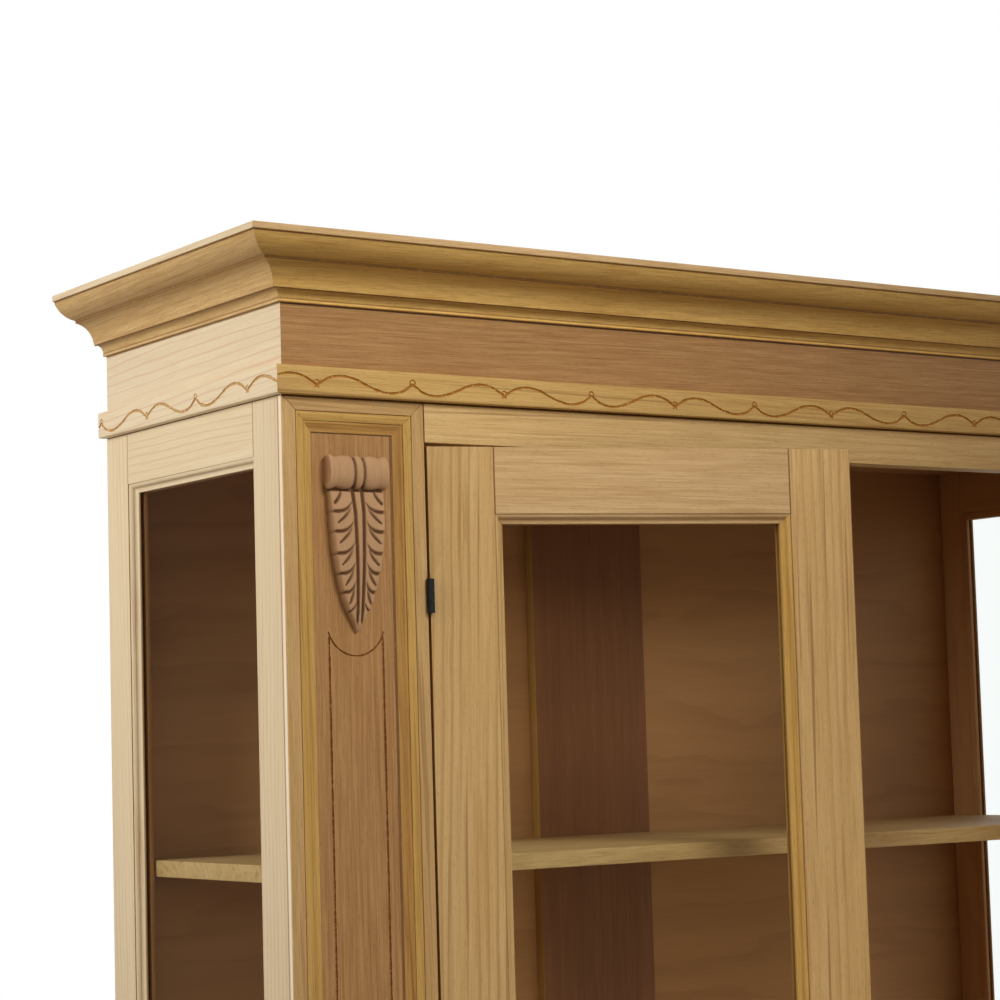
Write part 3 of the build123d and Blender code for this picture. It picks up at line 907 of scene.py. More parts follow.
    def wooden_piece(
        self,
        name: str,
        mesh: Mesh,
        nodes: tuple[str, ...],
        owners: np.ndarray | None = None,
        grain: Grain = Grain.LENGTHWISE,
        smooth_deg: float = 28.0,
        crevices: bool = True,
    ) -> Object:
        """Lays the grain on a wooden mesh and puts it in place.

        Args:
            name: The piece's name.
            mesh: The mesh, in the row frame.
            nodes: The CAD nodes that the piece stands for.
            owners: The number of the board that each vertex belongs to.
            grain: Which way the fibres run.
            smooth_deg: Edges under this angle are shaded round.
            crevices: False for a piece with no joint or quirk.

        Returns:
            The finished piece.
        """
        home = Body(self.homes[nodes[0]])
        points = corners_of(mesh)
        if owners is None:
            owners = np.zeros(len(points), int)
        cosine, sine = math.cos(home.turn), math.sin(home.turn)
        flat = points @ np.array([[cosine, sine, 0], [-sine, cosine, 0], [0, 0, 1]])
        laid = np.zeros_like(points)
        tones = np.zeros(len(points))
        dice = random.Random(name)
        for owner in range(int(owners.max()) + 1):
            own = owners == owner
            order = list(np.argsort(-np.ptp(flat[own], axis=0)))
            if grain.value is not None:
                order.remove(grain.value)
                order.insert(0, grain.value)
            local = (flat[own] - flat[own].mean(axis=0))[:, order]
            local[:, 1] += local[:, 0] * dice.uniform(-0.04, 0.04)
            along = dice.uniform(-2, 2)
            aside = dice.choice((-1, 1)) * dice.uniform(0.09, 0.2)
            laid[own] = local + np.array([along, aside, dice.uniform(0.03, 0.1)])
            tones[own] = dice.uniform(0, 1)
        note(mesh, "board", "POINT", laid)
        note(mesh, "tone", "POINT", tones)
        mesh.polygons.foreach_set("use_smooth", [True] * len(mesh.polygons))
        mesh.set_sharp_from_angle(angle=math.radians(smooth_deg))
        piece = stand(name, mesh)
        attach(piece, home.value)
        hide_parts(*nodes)
        LOG.info("%s: %d faces on %s", name, len(mesh.polygons), home.value)
        if crevices:
            self.wooden.append(piece)
        return piece

    def find_crevices(self) -> None:
        """Paints shade on the faces of wooden pieces that lie in a joint, a quirk or a groove.

        A face closed in by other faces gets a thin brown line: painted shade, with the dust and oil that
        gather there.
        """
        corners: list = []
        faces: list = []
        for piece in bpy.context.scene.objects:
            if piece.type == "MESH" and not piece.hide_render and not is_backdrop(piece):
                offset = len(corners)
                corners += [v.co.copy() for v in piece.data.vertices]
                faces += [[offset + i for i in p.vertices] for p in piece.data.polygons]
        around = BVHTree.FromPolygons(corners, faces, epsilon=0.0)
        fan = []
        for lean_deg, count in self.FAN:
            lean = math.radians(lean_deg)
            for step in range(count):
                turn, flat = math.tau * (step + 0.5) / count, math.sin(lean)
                fan.append(Vector((flat * math.cos(turn), flat * math.sin(turn), math.cos(lean))))
        for piece in self.wooden:
            if "dust_and_shade" not in piece.data.attributes:
                note(piece.data, "dust_and_shade", "FACE", self.crevices(piece.data, around, fan))

    def crevices(self, mesh: Mesh, around: BVHTree, fan: list[Vector]) -> list[float]:
        """Measures how deep each face of a mesh lies among the faces round it, which sets its painted shade.

        Args:
            mesh: The mesh, whose attribute "seam" may already say it for some faces.
            around: All faces of the object.
            fan: The ways in which a face looks out, with its own normal as Z.

        Returns:
            How dark each face is, from 0 to 0.9.
        """
        reach = self.SIGHT_MM * MM
        marked = mesh.attributes.get("dark_line")
        values = []
        for polygon in mesh.polygons:
            normal = polygon.normal
            dark_line = marked.data[polygon.index].value if marked else 0.0
            if polygon.area < 1e-12 or dark_line != 0:
                values.append(max(0.0, dark_line))
                continue
            turn = normal.to_track_quat("Z", "Y")
            start = polygon.center + normal * 0.04 * MM
            met = 0.0
            for way in fan:
                place, _, _, distance = around.ray_cast(start, turn @ way, reach)
                if place is not None:
                    met += 1.0 - 0.5 * distance / reach
            values.append(min(0.9, max(0.0, (met / len(fan) - self.OPEN_SHARE) / 0.2)))
        return values


def geometry_tree(
    name: str, *lengths: str, counts: tuple[str, ...] = ()
) -> tuple[NodeTree, dict[str, NodeSocket]]:
    """Starts a geometry tree with named inputs, of which the last is the finish.

    Args:
        name: The tree's name.
        lengths: The names of the inputs that are lengths or shares.
        counts: The names of the inputs that are whole numbers.

    Returns:
        The tree and its inputs by name.
    """
    tree = bpy.data.node_groups.new(name, "GeometryNodeTree")
    kinds = {"Geometry": "Geometry"} | dict.fromkeys(lengths, "Float") | dict.fromkeys(counts, "Int")
    for label, kind in (kinds | {"Finish": "Material"}).items():
        tree.interface.new_socket(label, in_out="INPUT", socket_type="NodeSocket" + kind)
    tree.interface.new_socket("Geometry", in_out="OUTPUT", socket_type="NodeSocketGeometry")
    return tree, {socket.name: socket for socket in add_node(tree, "NodeGroupInput").outputs}


def end_tree(tree: NodeTree, shape: NodeSocket, finish: NodeSocket) -> None:
    """Ends a geometry tree in Realize Instances and Set Material.

    Args:
        tree: The tree.
        shape: The geometry so far.
        finish: The socket that holds the material.
    """
    real = result(tree, "GeometryNodeRealizeInstances", {"Geometry": shape})
    dressed = result(tree, "GeometryNodeSetMaterial", {"Geometry": real, "Material": finish})
    add_node(tree, "NodeGroupOutput", {}, {0: dressed})


def vector(tree: NodeTree, *values: Input) -> NodeSocket:
    """A vector from its X, Y and Z, of which the ones left out are 0."""
    return result(tree, "ShaderNodeCombineXYZ", dict(enumerate(values)))


def circle(tree: NodeTree, steps: int, radius: Input) -> NodeSocket:
    """A circle of straight steps, as a gouge's section or as a ring's path."""
    return result(tree, "GeometryNodeCurvePrimitiveCircle", {"Resolution": steps, "Radius": radius})


def line(tree: NodeTree, start: NodeSocket, end: NodeSocket) -> NodeSocket:
    """A straight path."""
    return result(tree, "GeometryNodeCurvePrimitiveLine", {"Start": start, "End": end})


def swept(
    tree: NodeTree, path: NodeSocket, section: NodeSocket, capped: bool = True, swelling: bool = False
) -> NodeSocket:
    """A section swept along a path.

    Args:
        tree: The tree.
        path: The path.
        section: The section.
        capped: False for a closed path, which has no ends.
        swelling: True where the path's radius scales the section.

    Returns:
        The swept shape.
    """
    links = {"Curve": path, "Profile Curve": section, "Fill Caps": capped}
    if swelling:
        links["Scale"] = result(tree, "GeometryNodeInputRadius")
    return result(tree, "GeometryNodeCurveToMesh", links)


def grown(tree: NodeTree, values: dict, start: Mesh | None = None) -> Mesh:
    """Runs a geometry tree and returns its result as a plain mesh.

    Args:
        tree: The tree.
        values: The named inputs' values.
        start: The mesh that the tree works on, if any.

    Returns:
        The mesh.
    """
    carrier = stand(tree.name, start or bpy.data.meshes.new(tree.name))
    modifier = carrier.modifiers.new(tree.name, "NODES")
    modifier.node_group = tree
    for item in tree.interface.items_tree:
        if item.item_type == "SOCKET" and item.in_out == "INPUT" and item.name in values:
            modifier[item.identifier] = values[item.name]
    carrier.update_tag()
    mesh = evaluated_mesh(carrier)
    carrier.modifiers.remove(modifier)
    bpy.data.objects.remove(carrier)
    return mesh


def evaluated_mesh(carrier: Object) -> Mesh:
    """Returns the object's mesh with its modifiers applied, as a new mesh."""
    bpy.context.view_layer.update()
    depsgraph = bpy.context.evaluated_depsgraph_get()
    return bpy.data.meshes.new_from_object(carrier.evaluated_get(depsgraph))


def carved(mesh: Mesh, cutter: Mesh) -> Mesh:
    """Cuts a groove out of a mesh and keeps the cutter's material in it.

    Args:
        mesh: The solid wood.
        cutter: The shape that is taken away.

    Returns:
        The carved mesh.
    """
    wood, tool = stand("uncarved", mesh), stand("cutter", cutter)
    cut = wood.modifiers.new("carving", "BOOLEAN")
    cut.operation = "DIFFERENCE"
    cut.solver = "EXACT"
    cut.use_self = True
    cut.material_mode = "TRANSFER"
    cut.object = tool
    made = evaluated_mesh(wood)
    bpy.data.objects.remove(wood)
    bpy.data.objects.remove(tool)
    return made


def block(first: tuple, last: tuple, finish: Material) -> Mesh:
    """A box between two corners in millimetres, as a cutter or as a board to carve."""
    low, high = Vector(first) * MM, Vector(last) * MM
    mesh = bpy.data.meshes.new("block")
    matrix = Matrix.Translation((low + high) / 2) @ Matrix.Diagonal((*(high - low), 1))
    with editing(mesh) as work:
        bmesh.ops.create_cube(work, size=1.0, matrix=matrix)
    mesh.materials.append(finish)
    return mesh


def split(work: BMesh, middle: Vector, normal: Vector) -> None:
    """Splits the faces of a mesh where a plane crosses them."""
    geometry = work.verts[:] + work.edges[:] + work.faces[:]
    bmesh.ops.bisect_plane(work, geom=geometry, dist=1e-7, plane_co=middle, plane_no=normal)


def scribe(solid: BMesh, dark_lines: tuple[DarkLine, ...]) -> None:
    """Splits faces round each dark line and marks the faces inside it with how dark they are.

    Args:
        solid: The mesh, which is changed.
        dark_lines: The joint lines and the lines of painted shade.
    """
    layer = solid.faces.layers.float.get("dark_line") or solid.faces.layers.float.new("dark_line")
    for dark_line in dark_lines:
        places = [vertex.co / MM for vertex in solid.verts]
        bounds = [(min(p[axis] for p in places), max(p[axis] for p in places)) for axis in range(3)]
        if any(dark_line.low[axis] > bounds[axis][1] or dark_line.high[axis] < bounds[axis][0] for axis in range(3)):
            continue
        for axis in range(3):
            normal = Vector([float(axis == number) for number in range(3)])
            for place in (dark_line.low[axis], dark_line.high[axis]):
                if bounds[axis][0] < place < bounds[axis][1]:
                    split(solid, normal * place * MM, normal)
        for face in solid.faces:
            centre = face.calc_center_median() / MM
            if all(dark_line.low[axis] < centre[axis] < dark_line.high[axis] for axis in range(3)):
                face[layer] = max(face[layer], dark_line.share)


def placed(mesh: Mesh, matrix: Matrix) -> Mesh:
    """Moves a mesh by a matrix, turning its faces outward again after a mirror."""
    mesh.transform(matrix)
    if matrix.determinant() < 0:
        mesh.flip_normals()
    mesh.update()
    return mesh


@dataclass
class MitredRun:
    """A straight moulding whose section stands out from the carcass, mitred at its ends.

    The section's points are (outward, height) in millimetres. A quirk is a part of the
    section that is painted darker, for its shade and the dust in it: two corners of a box round it, and how
    dark it is.
    """

    outline: tuple[Point, ...]
    quirks: tuple[tuple[Point, Point, float], ...] = ()
    seam_mm: float = 0.4
    seam_share: float = 0.25

    def tree(self) -> NodeTree:
        """Builds the tree that sweeps a section along X and cuts its mitres."""
        made, size = geometry_tree("mitred_moulding", "Start", "End", "Mitre Start", "Mitre End")
        section = result(made, "GeometryNodeMeshToCurve", {"Mesh": size["Geometry"]})
        path = line(made, vector(made, size["Start"]), vector(made, size["End"]))
        square = swept(made, path, section)
        place = result(made, "GeometryNodeInputPosition")
        parts = add_node(made, "ShaderNodeSeparateXYZ", {}, {0: place}).outputs
        share = spread(made, parts[0], size["Start"], size["End"], size["Mitre Start"], size["Mitre End"])
        slide = maths(made, "MULTIPLY", maths(made, "MULTIPLY", parts[1], -1.0), share)
        links = {"Geometry": square, "Offset": vector(made, slide)}
        end_tree(made, result(made, "GeometryNodeSetPosition", links), size["Finish"])
        return made

    def section_mesh(self) -> Mesh:
        """The closed outline as edges in the plane that the sweep turns upright."""
        mesh = bpy.data.meshes.new("moulding_section")
        count = len(self.outline)
        points = [(outward * MM, -height * MM, 0.0) for outward, height in self.outline]
        mesh.from_pydata(points, [(i, (i + 1) % count) for i in range(count)], [])
        return mesh

    def run(self, start: float, end: float, mitred: bool, finish: Material) -> Mesh:
        """The run along X with a mitre at its start.

        Args:
            start: Where it starts, in millimetres.
            end: Where it ends.
            mitred: True for a mitre at the end too.
            finish: The wood.

        Returns:
            The run, which stands out toward negative Y.
        """
        values = {
            "Start": start * MM,
            "End": end * MM,
            "Mitre Start": -1.0,
            "Mitre End": float(mitred),
            "Finish": finish,
        }
        mitres = (start, end) if mitred else (start,)
        return self.finished(grown(self.tree(), values, self.section_mesh()), *mitres)

    def front(self, finish: Material) -> Mesh:
        """The run along the front, mitred at both corners."""
        mesh = self.run(-HALF_WIDTH, HALF_WIDTH, True, finish)
        return placed(mesh, Matrix.Translation((0, FRONT * MM, 0)))

    def side(self, finish: Material, sign: int) -> Mesh:
        """The run along a side, mitred at the front corner and square at the back."""
        columns = ((0, sign, 0, sign * HALF_WIDTH * MM), (1, 0, 0, 0), (0, 0, 1, 0), (0, 0, 0, 1))
        matrix = Matrix(columns) @ Matrix.Diagonal((1, -1, 1, 1))
        return placed(self.run(FRONT, BACK, False, finish), matrix)

    def finished(self, mesh: Mesh, *mitres: float) -> Mesh:
        """Welds the caps to the run, turns faces outward, and marks mitres and quirks.

        Args:
            mesh: The swept run, which lies along X and stands out toward negative Y.
            mitres: Where the mitres meet the carcass, of which the first leans to negative X.

        Returns:
            The run, whose face attribute "seam" says how dark a line it has.
        """
        planes = []
        for place, lean in zip(mitres, (-1, 1)):
            normal = Vector((lean, 1, 0)).normalized()
            planes.append((Vector((place * MM, 0, 0)) - normal * self.seam_mm * MM, normal))
        with editing(mesh) as work:
            bmesh.ops.remove_doubles(work, verts=work.verts, dist=1e-6)
            bmesh.ops.recalc_face_normals(work, faces=work.faces)
            for middle, normal in planes:
                split(work, middle, normal)
            layer = work.faces.layers.float.new("dark_line")
            for face in work.faces:
                centre = face.calc_center_median()
                outward, height = -centre.y / MM, centre.z / MM
                for low, high, share in self.quirks:
                    if low[0] <= outward <= high[0] and low[1] <= height <= high[1]:
                        face[layer] = share
                if any((centre - middle).dot(normal) > 0 for middle, normal in planes):
                    face[layer] = max(face[layer], self.seam_share)
        return mesh


def arc(start: Point, middle: Point, end: Point, steps: int) -> list[Point]:
    """Points of a circle's arc after its start, up to and with its end.

    Args:
        start: The first point.
        middle: A point on the arc.
        end: The last point.
        steps: How many points are returned.

    Returns:
        The points.
    """
    (ax, ay), (bx, by), (cx, cy) = start, middle, end
    double = 2 * (ax * (by - cy) + bx * (cy - ay) + cx * (ay - by))
    squares = (ax * ax + ay * ay, bx * bx + by * by, cx * cx + cy * cy)
    ux = (squares[0] * (by - cy) + squares[1] * (cy - ay) + squares[2] * (ay - by)) / double
    uy = (squares[0] * (cx - bx) + squares[1] * (ax - cx) + squares[2] * (bx - ax)) / double
    radius = math.hypot(ax - ux, ay - uy)
    angles = [math.atan2(y - uy, x - ux) for x, y in (start, middle, end)]
    for i in (1, 2):
        while angles[i] - angles[i - 1] > math.pi:
            angles[i] -= math.tau
        while angles[i] - angles[i - 1] < -math.pi:
            angles[i] += math.tau
    points = []
    for step in range(1, steps + 1):
        angle = angles[0] + (angles[2] - angles[0]) * step / steps
        points.append((ux + radius * math.cos(angle), uy + radius * math.sin(angle)))
    points[-1] = end
    return points


@dataclass
class CarvedWave:
    """The scallop line of the trim: a wave with cusps, and a small ring on each cusp."""

    half_period_mm: float = 113.45
    first_low_front_mm: float = -607.05
    first_low_side_mm: float = -148.5
    floor_mm: float = 1944.75
    span_mm: float = 20.0
    groove_mm: float = 1.3
    ring_mm: float = 3.1
    ring_groove_mm: float = 0.8
    low_ring_mm: float = 1953.55
    high_ring_mm: float = 1959.15
    tail_mm: float = 3.2
    sample_mm: float = 1.6

    # Height over the floor line, as a share of the span, from a low cusp to a high one.
    SHAPE = (
        (0.0, 0.36),
        (0.06, 0.54),
        (0.14, 0.76),
        (0.25, 0.865),
        (0.36, 0.79),
        (0.5, 0.5),
        (0.64, 0.22),
        (0.76, 0.12),
        (0.87, 0.22),
        (0.95, 0.46),
        (1.0, 0.66),
    )

    def tree(self) -> NodeTree:
        """Builds the tree that sweeps the cutter along the wave and rings its cusps."""
        made, size = geometry_tree(
            "carved_wave_cutter",
            "Length",
            "First Low",
            "Half Period",
            "Floor",
            "Span",
            "Groove",
            "Ring",
            "Ring Groove",
            "Low Ring Height",
            "High Ring Height",
            "Tail",
            counts=("Samples", "Lows", "Highs"),
        )

        def times(a: NodeSocket, b: Input) -> NodeSocket:
            """The product of two values."""
            return maths(made, "MULTIPLY", a, b)

        straight = line(made, vector(made), vector(made, size["Length"]))
        fine = result(made, "GeometryNodeResampleCurve", {"Curve": straight, "Count": size["Samples"]})
        place = result(made, "GeometryNodeInputPosition")
        along = result(made, "ShaderNodeSeparateXYZ", {0: place})
        steps = maths(made, "DIVIDE", maths(made, "SUBTRACT", along, size["First Low"]), size["Half Period"])
        bend = add_node(made, "ShaderNodeFloatCurve", {}, {"Value": maths(made, "PINGPONG", steps, 1.0)})
        curve = bend.mapping.curves[0]
        curve.points[0].location = self.SHAPE[0]
        curve.points[1].location = self.SHAPE[-1]
        for x, y in self.SHAPE[1:-1]:
            curve.points.new(x, y)
        bend.mapping.update()
        height = maths(made, "MULTIPLY_ADD", bend.outputs[0], size["Span"], size["Floor"])
        links = {"Geometry": fine, "Position": vector(made, along, 0.0, height)}
        wave = result(made, "GeometryNodeSetPosition", links)
        chatter = maths(made, "MULTIPLY_ADD", noise(made, place, 160.0, 1.0), 1.1, 0.45)
        links = {"Curve": wave, "Radius": times(size["Groove"], chatter)}
        wave = result(made, "GeometryNodeSetCurveRadius", links)

        nib = circle(made, 6, size["Ring Groove"])
        flat_ring = swept(made, circle(made, 20, size["Ring"]), nib, capped=False)
        links = {"Geometry": flat_ring, "Rotation": (math.pi / 2, 0.0, 0.0)}
        ring = result(made, "GeometryNodeTransform", links)
        tasselled = add_node(made, "GeometryNodeJoinGeometry", {}, {0: ring})
        for lean in (-1.0, 1.0):
            top, foot = (
                vector(made, times(size["Tail"], across * lean), 0.0, times(size["Tail"], drop))
                for across, drop in ((0.3, -0.6), (0.75, -1.5))
            )
            made.links.new(swept(made, line(made, top, foot), nib), tasselled.inputs[0])
        groove = swept(made, wave, circle(made, 8, 1.0), swelling=True)
        joined = add_node(made, "GeometryNodeJoinGeometry", {}, {0: groove})
        for label, shape, offset in (("Low", tasselled.outputs[0], 0.0), ("High", ring, 1.0)):
            first = maths(made, "MULTIPLY_ADD", size["Half Period"], offset, size["First Low"])
            links = {
                "Count": size[label + "s"],
                "Start Location": vector(made, first, 0.0, size[label + " Ring Height"]),
                "Offset": vector(made, times(size["Half Period"], 2.0)),
            }
            spots = result(made, "GeometryNodeMeshLine", links, mode="OFFSET")
            rings = result(made, "GeometryNodeInstanceOnPoints", {"Points": spots, "Instance": shape})
            made.links.new(rings, joined.inputs[0])
        end_tree(made, joined.outputs[0], size["Finish"])
        return made

    def cutter(self, length_mm: float, first_low_mm: float, finish: Material) -> Mesh:
        """The cutter of one face, from X = 0 along its length, on the plane Y = 0.

        Args:
            length_mm: The face's length.
            first_low_mm: Where the first low cusp lies, which may be before the start.
            finish: The material that the groove keeps.

        Returns:
            The cutter's mesh.
        """
        lengths = {
            "Length": length_mm,
            "First Low": first_low_mm,
            "Half Period": self.half_period_mm,
            "Floor": self.floor_mm,
            "Span": self.span_mm,
            "Groove": self.groove_mm,
            "Ring": self.ring_mm,
            "Ring Groove": self.ring_groove_mm,
            "Low Ring Height": self.low_ring_mm,
            "High Ring Height": self.high_ring_mm,
            "Tail": self.tail_mm,
        }
        rest, period = length_mm - first_low_mm, self.half_period_mm * 2
        counts = {
            "Samples": int(length_mm / self.sample_mm),
            "Lows": int(rest / period) + 1,
            "Highs": int((rest - self.half_period_mm) / period) + 1,
        }
        values = {label: size * MM for label, size in lengths.items()}
        return grown(self.tree(), values | counts | {"Finish": finish})


@dataclass
class Cornice:
    """Frieze, carved trim and crown moulding, with the board and the cover behind them."""

    trim_bottom: float = 1942.0
    trim_top: float = 1970.5
    trim_proud: float = 10.0
    trim_foot: float = 1.4
    setback: float = 1.3
    crown_bottom: float = 2035.0
    crown_proud: float = 64.0
    height: float = 2100.0
    arc_steps: int = 9
    bead_top: float = 2037.8
    side_groove: float = 1.5
    # Just behind the frieze's front face, and a distance past the frieze all round.
    frieze_face: float = -198.0
    past: float = 700.0

    # Parts of the crown's section painted darker for shade, with some dust, in quirks and under fillets, or
    # kept clean, and how dark each looks.
    QUIRKS = (
        ((1.7, 2034.9), (3.4, 2037.7), -1.0),
        ((2.4, 2037.7), (3.3, 2039.0), 0.55),
        ((2.7, 2039.0), (9.9, 2046.2), -1.0),
        ((9.9, 2045.9), (13.7, 2047.6), 0.85),
        ((35.3, 2070.3), (36.6, 2072.0), 0.9),
        ((36.2, 2071.9), (36.9, 2073.6), 0.7),
        ((60.6, 2090.3), (62.5, 2093.1), 0.75),
    )

    def trim_outline(self) -> tuple[Point, ...]:
        """The trim's section: a flat face with eased top and a chamfered foot."""
        proud, low, high, foot = self.trim_proud, self.trim_bottom, self.trim_top, self.trim_foot
        return (
            (0.0, low),
            (proud - foot, low),
            (proud - foot * 0.35, low + foot * 0.3),
            (proud, low + foot),
            (proud, high - 1.0),
            (proud - 0.3, high - 0.3),
            (proud - 1.0, high),
            (-self.setback, high),
            (-self.setback, CARCASS_TOP),
            (0.0, CARCASS_TOP),
        )

    def crown_outline(self) -> tuple[Point, ...]:
        """The crown's section: bead, quirk, scotia, fillet, ovolo and top fascia."""
        proud, top, steps = self.crown_proud, self.height, self.arc_steps
        points = [(-self.setback, self.crown_bottom), (1.8, self.crown_bottom)]
        points += arc(points[-1], (3.2, 2036.2), (2.6, 2037.6), 4)
        points += arc(points[-1], (4.6, 2043.8), (11.0, 2047.3), steps)
        points += [(11.6, 2046.4), (12.4, 2046.4), (13.2, 2047.3), (14.0, 2047.3)]
        points += arc(points[-1], (19.8, 2061.6), (36.3, 2070.6), steps + 3)
        points += [(36.0, 2071.8), (36.8, 2073.5)]
        points += arc(points[-1], (50.6, 2078.6), (61.5, 2091.4), steps + 3)
        points += [(61.4, 2092.4), (62.4, 2093.0), (proud - 0.4, 2093.2), (proud, 2093.8)]
        points += [(proud, top - 1.2), (proud - 0.4, top - 0.4), (proud - 1.2, top), (-self.setback, top)]
        return tuple(points)

    def bands(self, mesh: Mesh, fascia: Material, bead: Material) -> None:
        """Gives the crown's planed top band and the bead at its foot their own finishes: the bead's is a
        painted highlight, and on the sides the top band's is painted light.

        Args:
            mesh: The crown, all of one finish.
            fascia: The finish of the top band.
            bead: The finish of the bead, a painted highlight.
        """

        def chosen(polygon: MeshPolygon) -> int | None:
            """0 on the top band and 1 on the bead."""
            place = polygon.center / MM
            outward = max(abs(place.x) - HALF_WIDTH, FRONT - place.y)
            if outward > self.crown_proud - 0.8:
                return 0
            return 1 if outward > 1.7 and place.z < self.bead_top else None

        refinish(mesh, (fascia, bead), chosen)

    def build_trim(self, shop: Workshop) -> None:
        """Builds the carved trim of the front and of both sides.

        Args:
            shop: The workshop that finishes the pieces.
        """
        wave, run = CarvedWave(), MitredRun(self.trim_outline())
        side_wave = replace(wave, groove_mm=self.side_groove)
        reach, face_y = HALF_WIDTH + self.trim_proud, (FRONT - self.trim_proud) * MM
        front = run.front(shop.finish(TRIM_WOOD))
        cutter = wave.cutter(reach * 2, wave.first_low_front_mm + reach, shop.finish(FRONT_WAVE_CUT))
        front = carved(front, placed(cutter, Matrix.Translation((-reach * MM, face_y, 0))))
        shop.wooden_piece("carved_trim_front_piece", front, ("carved_trim_front",))
        sides = []
        for sign in (-1, 1):
            side = run.side(shop.finish(SIDE_FRIEZE_WOOD), sign)
            first = wave.first_low_side_mm - FRONT + self.trim_proud
            cutter = side_wave.cutter(BACK - FRONT + self.trim_proud, first, shop.finish(SIDE_WAVE_CUT))
            turn = Matrix(((0, -1, 0, sign * reach * MM), (1, 0, 0, face_y), (0, 0, 1, 0), (0, 0, 0, 1)))
            sides.append(carved(side, placed(cutter, turn)))
        joined, owners = join(sides)
        shop.wooden_piece("carved_trim_side_pieces", joined, ("carved_trim_sides",), owners)

    def build(self, shop: Workshop) -> None:
        """Builds and dresses the cornice.

        Args:
            shop: The workshop that finishes the pieces.
        """
        self.build_trim(shop)
        run = MitredRun(self.crown_outline(), self.QUIRKS)
        front = run.front(shop.finish(CROWN_WOOD))
        self.bands(front, shop.finish(DOOR_RAIL_WOOD), shop.finish(BEAD_HIGHLIGHT_WOOD))
        shop.wooden_piece("crown_moulding_front", front, ("crown_front",), smooth_deg=24.0)
        joined, owners = join([run.side(shop.finish(CROWN_SIDE_LIT_WOOD), sign) for sign in (-1, 1)])
        # On the sides the top band gets the side boards' pale wood, painted light from the side lamp, and the
        # bead a painted highlight.
        self.bands(joined, shop.finish(SIDE_WOOD), shop.finish(LIGHT_GOLDEN_WOOD))
        shop.wooden_piece("crown_moulding_sides", joined, ("crown_sides",), owners, smooth_deg=24.0)
        low, high, past, face = self.trim_top, self.crown_bottom, self.past, self.frieze_face
        # Painted shade on the frieze: a faint line over the trim, and a dark shadow line under the crown's
        # bead, thinner on the sides.
        dark_lines = (
            DarkLine((-past, -past, low), (past, past, low + 0.7), 0.5),
            DarkLine((-past, -past, high - 1.7), (past, face, high), 0.9),
            DarkLine((-past, face, high - 0.8), (past, past, high), 0.7),
        )
        shop.boards("frieze_front_board", RED_WOOD, "frieze_front", arris_mm=0.5, dark_lines=dark_lines)
        shop.boards("frieze_side_boards", SIDE_FRIEZE_WOOD, "frieze_sides", arris_mm=0.5, dark_lines=dark_lines)
        shop.boards("cornice_back_rail", BACK_PLY, "cornice_back_board", crevices=False)
        shop.boards("top_dust_cover", BACK_PLY, "dust_cover", crevices=False)


def join(meshes: list[Mesh]) -> tuple[Mesh, np.ndarray]:
    """Puts meshes together as one, with the same finishes.

    Args:
        meshes: The meshes, whose materials are the same in the same order.

    Returns:
        The one mesh, and the number of the mesh that each vertex came from.
    """
    made = bpy.data.meshes.new(meshes[0].name)
    with editing(made) as work:
        for mesh in meshes:
            work.from_mesh(mesh)
    for material in max(meshes, key=lambda mesh: len(mesh.materials)).materials:
        made.materials.append(material)
    return made, np.repeat(np.arange(len(meshes)), [len(mesh.vertices) for mesh in meshes])


def tube_faces(rings: int, count: int) -> list[tuple[int, ...]]:
    """The faces between closed rings of as many points each, in order along a tube."""
    faces = []
    for ring in range(rings - 1):
        for step in range(count):
            a, b = ring * count + step, ring * count + (step + 1) % count
            faces.append((a, b, b + count, a + count))
    return faces


